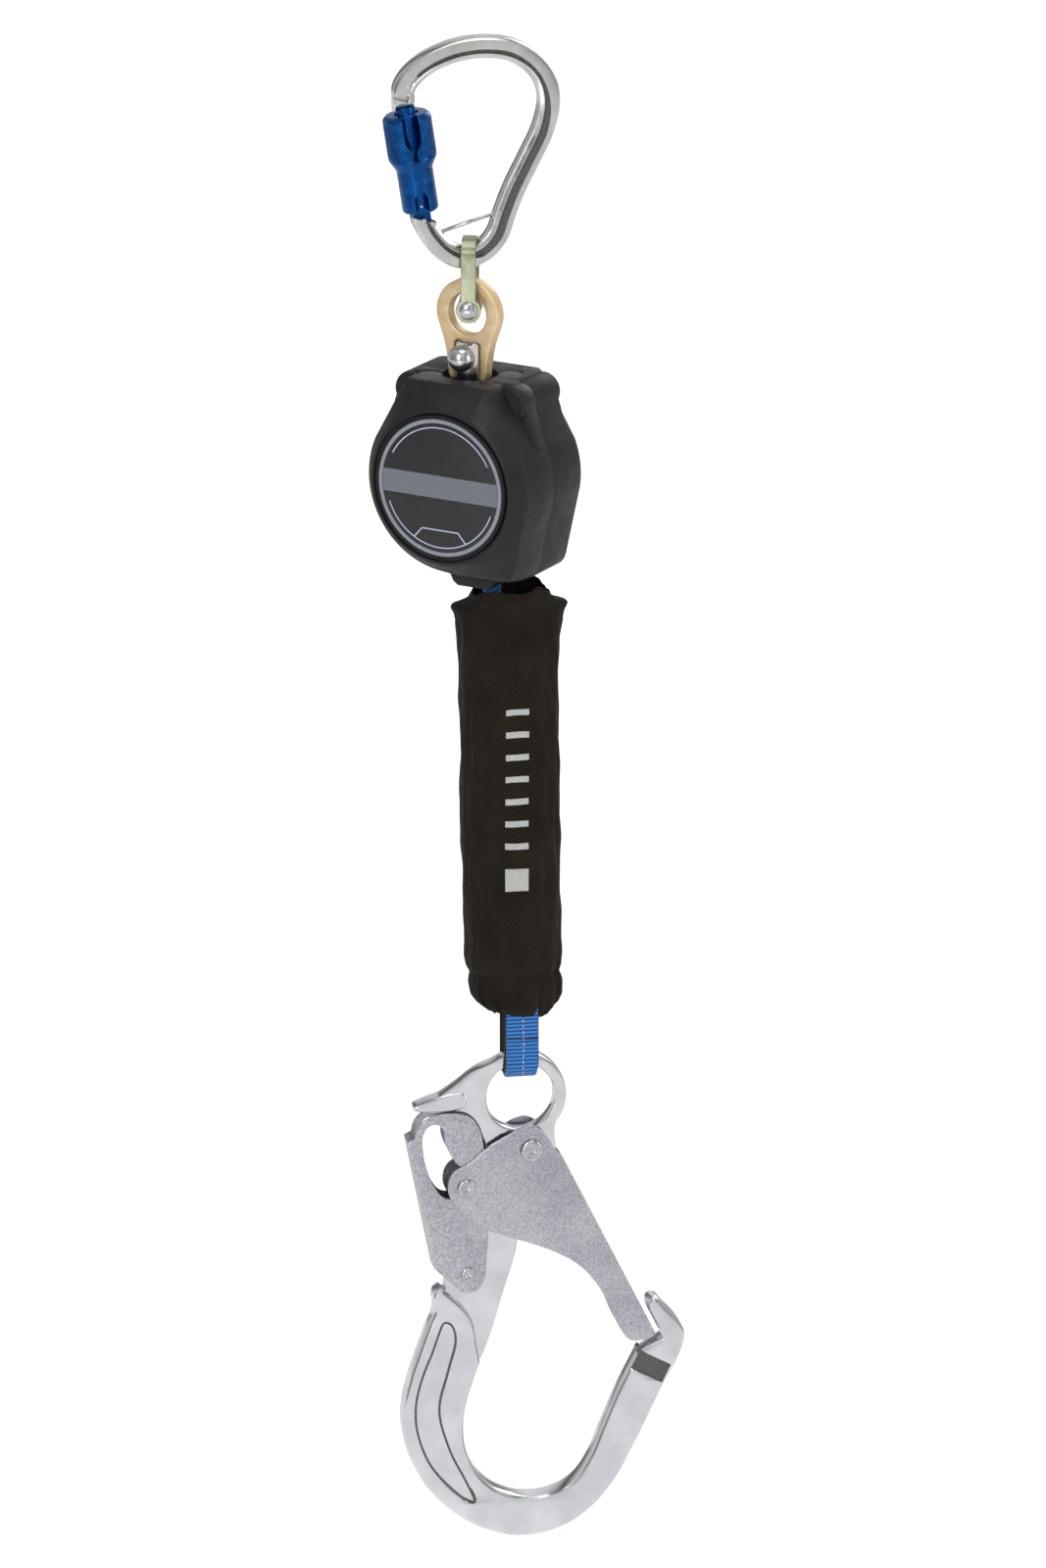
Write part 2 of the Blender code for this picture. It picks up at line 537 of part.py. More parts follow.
def housing():
    front = cover("front_cover", -1)
    cover("rear_cover", 1)
    face = -HOUSING_HALF_DEPTH
    centre = along_y(0, HOUSING_MID_Z)
    boolean(front, cylinder("label_recess", LABEL_R, face - 5, face + 1.6, centre, None, housing_axes, True,
                            40))
    cap_r = LABEL_R - 1.4
    cap = [(0, face + 1.3), (cap_r, face + 1.3), (cap_r, face + 0.2), (cap_r - 1.2, face - 0.4),
           (cap_r - 2.4, face - 0.4), (cap_r - 2.6, face), (0, face)]
    turned("label_cap", cap, centre, BLACK, housing_axes, steps=40)
    disc_r = cap_r - 3.0
    disc = [(0, face - GAP), (disc_r, face - GAP), (disc_r, face - GAP - 0.4), (0, face - GAP - 0.4)]
    turned("label_disc", disc, centre, GREY, housing_axes, steps=40)
    screw = [(0, 24.0), (3.4, 24.0), (3.4, 21.0), (1.7, 21.0), (1.7, -9.5), (0, -9.5)]
    for number, (x, z) in enumerate(SCREWS):
        turned(f"cover_screw_{number + 1}", screw, along_y(x, z), STEEL, housing_axes, steps=12)
    nozzle = box("web_nozzle", (WEB_X - 13.5, -14, -277.5), (WEB_X + 7.0, 14, -271.9), BLACK, housing_axes)
    bevel(nozzle, 2.6, segments=2)
    boolean(nozzle, box("nozzle_slot", (WEB_X - 2.0, -10.2, -290), (WEB_X + 2.0, 10.2, -260), None,
                        housing_axes,
                        True))
    for name, side in (("web_guide_pin_left", -1), ("web_guide_pin_right", 1)):
        turned(name, [(0, 12.0), (2.6, 12.0), (2.6, -12.0), (0, -12.0)],
               along_y(WEB_X + side * (WEB_THICK / 2 + 3.1), -257.5), STEEL, housing_axes, steps=16)


def load_frame():
    """The steel U that carries the fall load from the swivel to the drum's shaft."""
    outline = [(-20.0, -178.5), (15.0, -178.5), (15.0, -200.0), (4.0, -236.0), (-2.0, -243.0), (-16.0,
                                                                                                -243.0),
               (-22.0, -236.0), (-26.0, -200.0)]
    frame = plate("load_frame", [outline], -15.5, 15.5, STEEL, housing_axes, smooth=False)
    boolean(frame, box("frame_hollow", (-60, -13.3, -260), (60, 13.3, -181.6), None, housing_axes, True))
    boolean(frame, cylinder("frame_neck_hole", NECK_R, -190, -170, UPRIGHT, None, housing_axes, True, 20))
    boolean(frame, cylinder("frame_shaft_hole", 8.3, -30, 30, along_y(DRUM_X, DRUM_Z), None, housing_axes,
                            True))
    for name, side in (("shaft_bush_front", -1), ("shaft_bush_rear", 1)):
        low, high = sorted((side * 12.9, side * 15.9))
        turned(name, [(SHAFT_R + 0.3, high), (8.0, high), (8.0, low), (SHAFT_R + 0.3, low)],
               along_y(DRUM_X, DRUM_Z), STEEL, housing_axes, steps=20, ring=True)
    turned("frame_spacer", [(0, 13.0), (2.5, 13.0), (2.5, -13.0), (0, -13.0)], along_y(DRUM_X + 24.4, -188.5),
           STEEL, housing_axes, steps=12)


# Reel --------------------------------------------------------------------------------------------------

def drum():
    at = along_y(DRUM_X, DRUM_Z)
    journal, end = 17.2, 24.5
    shaft = turned("drum_shaft", [(0, end), (3.2, end), (3.2, journal), (SHAFT_R, journal), (SHAFT_R,
                                                                                             -journal),
                                  (4.0, -journal), (4.0, -end), (0, -end)], at, STEEL, housing_axes, steps=20)
    boolean(shaft, box("arbor_slit", (DRUM_X - 0.5, 18.5, DRUM_Z - 6), (DRUM_X + 0.5, 30, DRUM_Z + 6), None,
                       housing_axes, True))
    half = WEB_WIDTH / 2 + 0.5
    bore = SHAFT_R + GAP
    turned("drum_hub", [(bore, half), (HUB_R, half), (HUB_R, -half), (bore, -half)], at, ALLOY, housing_axes,
           ring=True)
    for name, low in (("drum_flange_front", -half - 2.2), ("drum_flange_rear", half + GAP)):
        turned(name, [(bore, low + 1.9), (FLANGE_R, low + 1.9), (FLANGE_R, low), (bore, low)], at, ALLOY,
               housing_axes, steps=28, ring=True)
    inner, side = HUB_R + GAP, WEB_WIDTH / 2
    turned("wound_webbing", [(inner, side), (COIL_R, side), (COIL_R, -side), (inner, -side)], at, BLUE_WEB,
           housing_axes, steps=28, ring=True)


def ratchet():
    """Fixed ring with inner teeth, and two pawls on a rotor that fly out into them."""
    back, front = -16.0, -20.5
    pitch = 360 / TEETH
    inner = []
    for tooth in range(TEETH):
        start = tooth * pitch
        inner += arc(DRUM_X, DRUM_Z, RING_ROOT_R, start, start + pitch * 0.66, 4)
        inner += arc(DRUM_X, DRUM_Z, RING_TIP_R, start + pitch * 0.70, start + pitch * 0.86, 2)
    plate("ratchet_ring", [circle(DRUM_X, DRUM_Z, RING_OUTER_R, 36), inner[::-1]], front, back, STEEL,
          housing_axes,
          smooth=False)
    rotor = plate("pawl_rotor", [circle(DRUM_X, DRUM_Z, 21.0, 32), circle(DRUM_X, DRUM_Z, 4.3, 16)], -23.6,
                  -21.4,
                  ALLOY, housing_axes, smooth=False)
    for letter, turn in (("a", 0.0), ("b", 180.0)):
        angle = math.radians(turn + PAWL_ANGLE)
        x, z = DRUM_X + PAWL_PIVOT_R * math.cos(angle), DRUM_Z + PAWL_PIVOT_R * math.sin(angle)
        at = along_y(x, z)
        boolean(rotor, cylinder(f"rotor_pin_hole_{letter}", 1.8, -30, -10, at, None, housing_axes, True, 12))
        turned(f"pawl_pin_{letter}", [(0, -16.3), (1.5, -16.3), (1.5, -24.4), (0, -24.4)], at, STEEL,
               housing_axes,
               steps=12)
        outline = [(DRUM_X + r * math.cos(math.radians(turn + a)),
                    DRUM_Z + r * math.sin(math.radians(turn + a)))
                   for r, a in PAWL_OUTLINE]
        plate(f"pawl_{letter}", [outline, circle(x, z, 1.8, 12)], -20.6, -16.6, STEEL, housing_axes,
              smooth=False)


def power_spring():
    case = [(20.5, 26.0), (22.0, 26.0), (22.0, 16.2), (5.6, 16.2), (5.6, 17.4), (20.5, 17.4)]
    turned("spring_case", case, along_y(DRUM_X, DRUM_Z), BLACK, housing_axes, steps=32, ring=True)
    turns, per_turn = 5, 14
    count = turns * per_turn + 1
    start_r, end_r = 4.6, 19.6
    half = 0.28
    path = []
    for i in range(count):
        a = 2 * math.pi * i / per_turn
        r = start_r + (end_r - start_r) * i / (count - 1)
        path.append(Vector((DRUM_X + r * math.cos(a), DRUM_Z + r * math.sin(a))))
    profile = [(half, 18.2), (half, 25.0), (-half, 25.0), (-half, 18.2)]
    flat_path_loft("power_spring", path, profile, STEEL, housing_axes)


# Lifeline, shock pack and end loop -----------------------------------------------------------------------

def lifeline():
    thick, wide = WEB_THICK / 2, WEB_WIDTH / 2
    box("lifeline_web", (WEB_X - thick, -wide, WEB_LOW), (WEB_X + thick, wide, WEB_TOP), BLUE_WEB,
        housing_axes)
    block = [[(x - 15, y - 6, z), (x + 15, y - 6, z), (x + 15, y + 6, z), (x - 15, y + 6, z)]
             for x, y, z in ((12.8, -4.0, -330.0), (15.0, -1.0, -490.0))]
    bevel(loft("tear_web_pack", block, BLUE_WEB), 1.5)
    pack_cover()
    loop("end_loop", 7.5, 9.9, LOOP_WIDTH, -496.0, BLUE_WEB)
    loop("wear_sleeve", 6.6, 7.2, LOOP_WIDTH + 1.0, -509.5, BLACK_CLOTH)


def soft_section(z, half_width, half_depth, x, y, inset):
    """A level ring between an ellipse and a rectangle, drawn in by inset mm."""
    ring, count, squareness = [], 16, 0.8
    for i in range(count):
        t = 2 * math.pi * i / count
        c, s = math.cos(t), math.sin(t)
        ring.append((x + (half_width - inset) * math.copysign(abs(c) ** squareness, c),
                     y + (half_depth - inset) * math.copysign(abs(s) ** squareness, s), z))
    return ring


def pack_cover():
    shell = loft("pack_cover", [soft_section(*given, 0.0) for given in PACK_SECTIONS], BLACK_CLOTH)
    inner = [soft_section(*given, PACK_WALL) for given in PACK_SECTIONS]
    first = [(x, y, z - 5) for x, y, z in inner[0]]
    last = [(x, y, z + 5) for x, y, z in inner[-1]]
    boolean(shell, loft("pack_hollow", [first, *inner, last], None, cutter=True))


def loop(name, inner, outer, width, top, mat):
    """Webbing bent round the ring's top bar: two legs and a half-round bottom."""
    bend_out = arc(0, LOOP_Z, outer, 180, 360, 13)
    bend_in = arc(0, LOOP_Z, inner, 360, 180, 13)
    outline = [(-outer, top)] + bend_out + [(outer, top), (inner, top)] + bend_in + [(-inner, top)]
    low, high = LOOP_X - width / 2, LOOP_X + width / 2
    sections = [[(x, y, z) for y, z in outline] for x in (low, high)]
    return loft(name, sections, mat)


# Rebar hook --------------------------------------------------------------------------------------------

def hook_body():
    bowl = [(-24.0, -656.6, "c"), (-27.5, -660.0), (-27.2, -669.0), (-30.4, -677.5), (-35.4, -691.5),
            (-40.4, -706.5), (-43.7, -723.0), (-42.6, -740.0), (-36.6, -757.5), (-25.9, -773.0), (-12.2,
                                                                                                  -785.0),
            (3.5, -793.0), (20.0, -796.2), (38.0, -793.0), (53.5, -784.0), (66.2, -769.8), (76.0, -752.5),
            (91.0, -721.0), (103.0, -696.6), (104.2, -689.6), (102.4, -684.4), (93.0, -672.8), (88.6, -668.6),
            (84.9, -670.2), (84.8, -675.2, "c"), (92.6, -691.0, "c"), (79.2, -699.2, "c"), (69.9, -717.6),
            (61.6, -737.4), (54.0, -755.4), (46.0, -766.8), (34.5, -772.9), (22.5, -774.2), (10.5, -771.6),
            (-1.5, -763.2), (-9.6, -750.2), (-12.2, -736.5), (-10.7, -722.0), (-6.9, -709.0),
            (-3.4, -698.6, "c"), (-5.2, -689.0), (-8.0, -674.6), (-13.6, -665.6, "c")]
    body = plate("hook_body", [bowl], -BOWL_HALF, BOWL_HALF, ALLOY)
    bevel(body, 2.4, segments=1, angle=50)
    ring_top = arc(LOOP_X, RING_Z, RING_R, 122, -38, 15)
    outline = [(-36.4, -559.2, "c"), (-24.0, -552.4), (-14.5, -546.2), (-5.2, -539.3)] + ring_top + [
        (35.9, -576.5), (36.4, -584.0), (31.2, -597.0), (25.0, -611.0), (19.6, -624.0), (16.6, -633.2),
        (14.9, -642.0), (9.0, -661.4), (3.1, -681.6), (-2.6, -697.5, "c"), (-15.0, -690.0, "c"),
        (-22.0, -664.0, "c"), (-21.0, -651.0), (-17.0, -640.0), (-7.0, -618.0), (-1.8, -600.0), (0.4, -584.3),
        (-2.4, -574.7), (-5.2, -568.6), (-9.0, -564.7), (-17.0, -561.6), (-34.0, -561.0, "c")]
    shank = plate("hook_shank", [outline, circle(LOOP_X, RING_Z, RING_HOLE_R, 28), circle(*GATE_PIVOT, 3.4,
                                                                                          16),
                                 circle(*LEVER_PIVOT, 3.0, 16)], -SHANK_HALF, SHANK_HALF, None, None, True)
    bevel(shank, 1.0, angle=50)
    boolean(body, shank, "UNION", solver="MANIFOLD")
    tab = plate("finger_tab", [[(-37.0, -558.9, "c"), (-26.0, -553.2), (-13.5, -551.4), (-9.6, -555.0),
                                (-12.0, -559.4), (-34.5, -560.6, "c")]], -5.5, 5.5, None, None, True)
    boolean(body, tab, "UNION", solver="MANIFOLD")
    return body


def folded(name, outline, holes, spine, inner, outer, mat):
    """A sheet-metal U: two flat sides and a spine. spine is the cutter outline that hollows it."""
    piece = plate(name, [outline] + holes, -outer, outer, mat, fineness=2)
    boolean(piece, plate(name + "_hollow", [spine], -inner, inner, None, None, True, smooth=False))
    return piece


def hook_gate():
    outline = [(-20.8, -600.4), (-18.2, -593.4), (-9.4, -588.2), (-1.6, -581.6), (8.8, -575.3), (17.6,
                                                                                                 -570.6),
               (23.5, -570.0), (29.6, -574.2), (34.6, -582.0), (41.0, -591.0, "c"), (88.4, -687.6, "c"),
               (85.6, -689.6), (79.6, -691.0), (74.6, -690.2), (71.0, -686.2), (61.1, -665.0), (55.0, -655.4),
               (47.6, -647.4), (38.6, -641.4), (29.6, -637.0), (8.8, -628.9), (-5.0, -622.9), (-13.4, -615.2),
               (-19.8, -606.0)]
    hollow = [(-60, -560), (60, -560), (60, -590.4), (39.4, -590.4), (86.2, -686.0), (86.2, -720), (-60,
                                                                                                    -720)]
    holes = [circle(*GATE_PIVOT, 3.3, 16), circle(*TAIL_PIN, 2.9, 16)]
    folded("hook_gate", outline, holes, hollow, GATE_INNER, GATE_OUTER, STEEL)
    rivet("gate_rivet", *GATE_PIVOT, 3.0, 5.8, GATE_OUTER + GAP, 1.8, STEEL)
    rivet("gate_tail_pin", *TAIL_PIN, 2.6, 4.8, GATE_OUTER + GAP, 1.4, STEEL)


def lock_lever():
    outline = [(-41.3, -575.7, "c"), (-37.6, -574.0, "c"), (-36.2, -568.8), (-32.6, -564.6), (-24.6, -561.8),
               (-15.2, -561.8), (-9.0, -564.0), (-4.6, -569.2), (-2.2, -577.0), (-0.8, -590.0), (0.6, -626.0),
               (-0.2, -641.0), (-2.2, -654.6), (-6.2, -659.2), (-11.6, -659.6), (-17.4, -655.0), (-27.6,
                                                                                                  -645.6,
                                                                                                  "c")]
    slot = [(-28.0, -567.0), (-23.2, -569.4), (-21.8, -577.0), (-18.6, -584.6), (-13.0, -592.6), (-8.0,
                                                                                                  -600.0),
            (-8.6, -604.6), (-13.4, -606.4), (-21.6, -607.2), (-27.0, -601.4), (-31.0, -592.0), (-33.2,
                                                                                                 -581.0),
            (-32.6, -571.0)]
    hollow = [(-39.6, -576.5), (-26.2, -645.0), (-26.2, -700), (60, -700), (60, -540), (-60, -540), (-60,
                                                                                                     -574.4),
              (-39.2, -574.4)]
    folded("lock_lever", outline, [slot, circle(*LEVER_PIVOT, 2.9, 16)], hollow, LEVER_INNER, LEVER_OUTER,
           STEEL)
    rivet("lever_rivet", *LEVER_PIVOT, 2.6, 3.9, LEVER_OUTER + GAP, 1.1, STEEL)
    helix_spring("lever_spring", (-20.5, 0.0, -633.0), (1.0, 0.0, 0.3), 2.6, 0.5, 5, 5.0, STEEL)


carabiner_frame()
gate_parts()
lock_sleeve()
shackle()
swivel_eye()
housing()
load_frame()
drum()
ratchet()
power_spring()
lifeline()
hook_body()
hook_gate()
lock_lever()
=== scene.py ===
"""Looks of the self retracting lifeline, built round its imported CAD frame. Lengths are in millimetres where a
name or comment does not say metres; MM turns them into metres."""

import math

import bmesh
import bpy
from mathutils import Matrix, Vector, noise

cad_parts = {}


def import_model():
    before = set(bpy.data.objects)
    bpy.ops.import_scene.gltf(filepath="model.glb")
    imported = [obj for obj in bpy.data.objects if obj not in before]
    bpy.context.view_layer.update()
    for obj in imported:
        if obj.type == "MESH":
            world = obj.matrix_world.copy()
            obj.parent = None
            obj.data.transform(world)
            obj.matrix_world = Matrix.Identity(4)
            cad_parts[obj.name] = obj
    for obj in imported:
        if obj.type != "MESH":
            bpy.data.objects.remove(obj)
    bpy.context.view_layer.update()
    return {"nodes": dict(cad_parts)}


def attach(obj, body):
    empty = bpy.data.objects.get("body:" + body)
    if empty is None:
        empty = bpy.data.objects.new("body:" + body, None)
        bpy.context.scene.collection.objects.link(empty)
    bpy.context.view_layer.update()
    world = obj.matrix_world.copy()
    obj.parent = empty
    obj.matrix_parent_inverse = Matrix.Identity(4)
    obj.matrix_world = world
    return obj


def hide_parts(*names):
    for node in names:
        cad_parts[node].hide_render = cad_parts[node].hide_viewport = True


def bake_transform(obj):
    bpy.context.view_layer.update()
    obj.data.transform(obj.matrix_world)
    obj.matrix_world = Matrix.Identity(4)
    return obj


MM = 0.001
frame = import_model()
nodes = frame["nodes"]
scene = bpy.context.scene


def shift(x, y, z):
    """A move in mm."""
    return Matrix.Translation(Vector((x, y, z)) * MM)


def turn(degrees, axis):
    return Matrix.Rotation(math.radians(degrees), 4, axis)


# Places in the frame: the reel and the shackle hang below the carabiner's lowest point, each turned about the
# vertical, and the gate's own Z axis runs from its foot to its head.
UPRIGHT = Matrix.Identity(4)
HANG_X = -7.0
HOUSING = shift(HANG_X, 0, 0) @ turn(-40, "Z")
SHACKLE = shift(HANG_X, 0, 0) @ turn(-15, "Z")
GATE_FOOT, GATE_HEAD = Vector((-31.3, -88.0)), Vector((-40.4, -26.5))
GATE_DIR = (GATE_HEAD - GATE_FOOT).normalized()
GATE_LENGTH = (GATE_HEAD - GATE_FOOT).length
GATE = shift(GATE_FOOT.x, 0, GATE_FOOT.y) @ Matrix.Rotation(math.atan2(GATE_DIR.x, GATE_DIR.y), 4, "Y")


# Materials ---------------------------------------------------------------------------------------------

class Finish:
    """A Principled material and the nodes that vary it. Linked sockets keep the plain value given to them."""

    def __init__(self, name, colour, roughness, metallic=0.0, **sockets):
        self.mat = bpy.data.materials.new(name)
        self.mat.use_nodes = True
        self.tree = self.mat.node_tree
        self.shader = self.tree.nodes["Principled BSDF"]
        self.shader.inputs["Base Color"].default_value = (*colour, 1)
        self.shader.inputs["Roughness"].default_value = roughness
        self.shader.inputs["Metallic"].default_value = metallic
        for socket, value in sockets.items():
            self.shader.inputs[socket.replace("_", " ")].default_value = value
        self.height = None

    def node(self, kind, **settings):
        made = self.tree.nodes.new("ShaderNode" + kind)
        for key, value in settings.items():
            setattr(made, key, value)
        return made

    def link(self, out, into):
        self.tree.links.new(out, into)

    def coords(self, stretch=(1, 1, 1), output="Object"):
        at = self.node("TexCoord")
        scaled = self.node("Mapping")
        scaled.inputs["Scale"].default_value = stretch
        self.link(at.outputs[output], scaled.inputs["Vector"])
        return scaled.outputs["Vector"]

    def noise(self, size, detail=3.0, stretch=(1, 1, 1), output="Object"):
        """Noise whose features are about size mm."""
        made = self.node("TexNoise")
        made.inputs["Scale"].default_value = 1 / (size * MM) if output == "Object" else 1 / size
        made.inputs["Detail"].default_value = detail
        self.link(self.coords(stretch, output), made.inputs["Vector"])
        return made.outputs["Fac"]

    def ramp(self, factor, low, high, start=0.3, end=0.7):
        made = self.node("ValToRGB")
        made.color_ramp.elements[0].position = start
        made.color_ramp.elements[1].position = end
        for element, value in zip(made.color_ramp.elements, (low, high)):
            element.color = (*value, 1) if isinstance(value, tuple) else (value, value, value, 1)
        self.link(factor, made.inputs["Fac"])
        return made.outputs["Color"]

    def maths(self, operation, a, b=None):
        made = self.node("Math", operation=operation)
        for socket, value in zip(made.inputs, (a, b)):
            if value is None:
                continue
            if isinstance(value, (int, float)):
                socket.default_value = value
            else:
                self.link(value, socket)
        return made.outputs[0]

    def mix(self, factor, a, b):
        made = self.node("Mix", data_type="RGBA")
        self.link(factor, made.inputs["Factor"])
        for socket, value in ((made.inputs[6], a), (made.inputs[7], b)):
            if isinstance(value, tuple):
                socket.default_value = (*value, 1)
            else:
                self.link(value, socket)
        return made.outputs[2]

    def colour(self, socket):
        self.link(socket, self.shader.inputs["Base Color"])
        return self

    def mottle(self, size, low, high, *noise_options):
        """Colour that drifts between low and high over patches of about size mm."""
        return self.colour(self.ramp(self.noise(size, *noise_options), low, high))

    def wear(self, size, low, high, *noise_options):
        """Roughness that drifts between low and high in the same way."""
        self.link(self.ramp(self.noise(size, *noise_options), low, high), self.shader.inputs["Roughness"])
        return self

    def grain(self, size, depth, *noise_options):
        return self.bump(self.noise(size, *noise_options), depth)

    def bump(self, height, depth, strength=1.0):
        """Adds relief of depth mm on top of any bump given before."""
        made = self.node("Bump")
        made.inputs["Strength"].default_value = strength
        made.inputs["Distance"].default_value = depth * MM
        self.link(height, made.inputs["Height"])
        if self.height is not None:
            self.link(self.height, made.inputs["Normal"])
        self.height = made.outputs["Normal"]
        self.link(self.height, self.shader.inputs["Normal"])
        return self

    def uv_wave(self, axis, pitch):
        """0 to 1 wave along the UV axis (0 or 1), which holds millimetres."""
        split = self.node("SeparateXYZ")
        self.link(self.coords(output="UV"), split.inputs[0])
        turned = self.maths("MULTIPLY", split.outputs[axis], 2 * math.pi / pitch)
        return self.maths("MULTIPLY_ADD", self.maths("SINE", turned), 0.5)


def metal(name, dark, light, rough_low, rough_high, size, grain, depth):
    made = Finish(name, light, rough_low, 1.0).mottle(size, dark, light)
    return made.wear(size * 0.6, rough_low, rough_high, 4.0).grain(grain, depth, 2.0)


FORGED = metal("forged_flange", (0.58, 0.57, 0.55), (0.76, 0.75, 0.73), 0.17, 0.30, 12.0, 0.5, 0.006)
# Dark, rough metal. Its roughness and grain are the groove's own finish; its dark colour is painted shade. It is used
# for the carabiner's groove and for the hook's recess lines and plates.
GROOVE_SHADE = metal("rough_groove_and_shade", (0.10, 0.10, 0.10), (0.22, 0.22, 0.215), 0.45, 0.65, 1.0, 0.35, 0.06)
ALLOY = metal("polished_alloy_wear", (0.72, 0.74, 0.78), (0.88, 0.89, 0.92), 0.10, 0.22, 16.0, 1.2, 0.008)
ALLOY_DULL = metal("blasted_alloy", (0.45, 0.46, 0.49), (0.62, 0.63, 0.66), 0.32, 0.48, 4.0, 0.4, 0.03)
PIN = metal("plated_pin", (0.48, 0.49, 0.51), (0.66, 0.67, 0.69), 0.16, 0.30, 3.0, 0.6, 0.006)
STRAP = metal("olive_strap", (0.27, 0.30, 0.17), (0.48, 0.49, 0.38), 0.24, 0.40, 8.0, 0.6, 0.012)

ZINC = Finish("zinc_spangle", (0.5, 0.5, 0.52), 0.35, 1.0)
spangle = ZINC.noise(1.1, 5.0)
ZINC.colour(ZINC.mix(ZINC.ramp(ZINC.noise(26.0, 2.0), 0.0, 0.8),
                     ZINC.ramp(spangle, (0.44, 0.45, 0.49), (0.78, 0.78, 0.80)),
                     ZINC.ramp(spangle, (0.32, 0.33, 0.41), (0.62, 0.63, 0.70))))
ZINC.wear(1.1, 0.24, 0.46, 5.0).grain(0.8, 0.03)

BLUE = Finish("blue_anodised_satin", (0.006, 0.085, 0.36), 0.28, 0.9)
BLUE.mottle(5.0, (0.002, 0.050, 0.20), (0.006, 0.090, 0.32)).wear(2.0, 0.20, 0.32).grain(0.4, 0.008)

GOLD = Finish("gold_plate_matte", (0.74, 0.53, 0.28), 0.42, 0.55)
GOLD.mottle(6.0, (0.76, 0.54, 0.29), (0.92, 0.72, 0.45), 4.0).wear(3.0, 0.36, 0.52).grain(0.5, 0.02)

BLACK = Finish("textured_black_moulding", (0.02, 0.02, 0.02), 0.5, Specular_IOR_Level=0.35)
BLACK.mottle(18.0, (0.0085, 0.0085, 0.0085), (0.017, 0.017, 0.0165), 5.0)
BLACK.wear(7.0, 0.40, 0.56, 4.0).grain(0.55, 0.05, 2.0)

PATCH = Finish("dark_grey_plug", (0.05, 0.05, 0.05), 0.42)
PATCH.mottle(2.5, (0.026, 0.026, 0.027), (0.050, 0.050, 0.050), 4.0).grain(0.5, 0.03)

LABEL = Finish("label_film", (0.03, 0.03, 0.03), 0.5)
LABEL.mottle(0.7, (0.009, 0.009, 0.010), (0.030, 0.030, 0.032), 6.0).grain(0.4, 0.01)
LABEL_RING = Finish("label_ring_grey", (0.24, 0.26, 0.31), 0.45)
LABEL_RING.mottle(0.8, (0.25, 0.27, 0.32), (0.35, 0.37, 0.43), 4.0)
LABEL_LINE = Finish("label_line_blue", (0.46, 0.53, 0.72), 0.45)
LABEL_LINE.mottle(2.0, (0.50, 0.58, 0.78), (0.60, 0.68, 0.88))
LABEL_BAND = Finish("label_band_grey", (0.15, 0.165, 0.20), 0.45)
LABEL_BAND.mottle(0.9, (0.155, 0.17, 0.20), (0.22, 0.235, 0.275), 4.0)

YARN = 1.7  # mm from one yarn of the cover's cloth to the next but one
CLOTH = Finish("ballistic_weave", (0.012, 0.009, 0.006), 0.85, Sheen_Weight=0.05, Sheen_Roughness=0.5,
               Specular_IOR_Level=0.15)
over, under = CLOTH.uv_wave(0, YARN), CLOTH.uv_wave(1, YARN)
dots = CLOTH.maths("MULTIPLY", over, under)
cross = CLOTH.maths("MULTIPLY", CLOTH.maths("SUBTRACT", 1.0, over), CLOTH.maths("SUBTRACT", 1.0, under))
weave = CLOTH.maths("ADD", dots, cross)
tint = CLOTH.ramp(CLOTH.noise(22.0, 3.0), (0.028, 0.019, 0.012), (0.056, 0.041, 0.028))
CLOTH.colour(CLOTH.mix(CLOTH.ramp(weave, 0.0, 1.0, 0.35, 0.95), (0.0035, 0.0022, 0.0012), tint))
CLOTH.bump(weave, 0.35, 0.9).grain(0.3, 0.05, 2.0)

# Black cloth for the end loop's lining. Its black colour is painted shade on the webbing's fold; its mottle and grain
# are the cloth's texture.
FOLD_SHADE = Finish("black_fold_shade", (0.012, 0.010, 0.009), 0.8, Sheen_Weight=0.2)
FOLD_SHADE.mottle(0.5, (0.008, 0.007, 0.006), (0.026, 0.021, 0.017), 3.0, (1, 1, 0.35))
FOLD_SHADE.grain(0.45, 0.12, 2.0, (1, 1, 0.4))

WEB = Finish("blue_rib_webbing", (0.008, 0.13, 0.52), 0.7, Sheen_Weight=0.3, Sheen_Roughness=0.4)
rib, yarn = WEB.uv_wave(1, 2.0), WEB.uv_wave(0, 0.9)
WEB.colour(WEB.mix(WEB.ramp(WEB.maths("MULTIPLY_ADD", yarn, 0.25), 0.0, 1.0, 0.0, 0.3),
                   WEB.ramp(rib, (0.002, 0.035, 0.20), (0.020, 0.20, 0.62), 0.1, 0.9),
                   WEB.ramp(rib, (0.003, 0.05, 0.27), (0.040, 0.28, 0.74), 0.1, 0.9)))
WEB.bump(rib, 0.18).bump(yarn, 0.08)

THREAD = Finish("white_thread", (0.55, 0.55, 0.56), 0.7, Sheen_Weight=0.2)
THREAD.mottle(0.6, (0.42, 0.43, 0.46), (0.70, 0.70, 0.70)).grain(0.3, 0.05)
DARK_THREAD = Finish("dark_thread", (0.02, 0.02, 0.03), 0.8)
DARK_THREAD.mottle(0.6, (0.010, 0.012, 0.020), (0.05, 0.06, 0.10))
PRINT = Finish("pale_print", (0.55, 0.55, 0.53), 0.7)
PRINT.mottle(0.9, (0.42, 0.42, 0.40), (0.62, 0.62, 0.60), 5.0).grain(0.6, 0.08)


# Mesh tools --------------------------------------------------------------------------------------------

def linked(name, data):
    obj = bpy.data.objects.new(name, data)
    scene.collection.objects.link(obj)
    return obj


def evaluated(obj):
    """A mesh of the object as its modifiers or its curve settings make it."""
    bpy.context.view_layer.update()
    graph = bpy.context.evaluated_depsgraph_get()
    return bpy.data.meshes.new_from_object(obj.evaluated_get(graph))


def shaded(obj, sharp):
    """Smooth shading that keeps edges sharper than sharp degrees."""
    obj.data.shade_smooth()
    obj.data.set_sharp_from_angle(angle=math.radians(sharp))


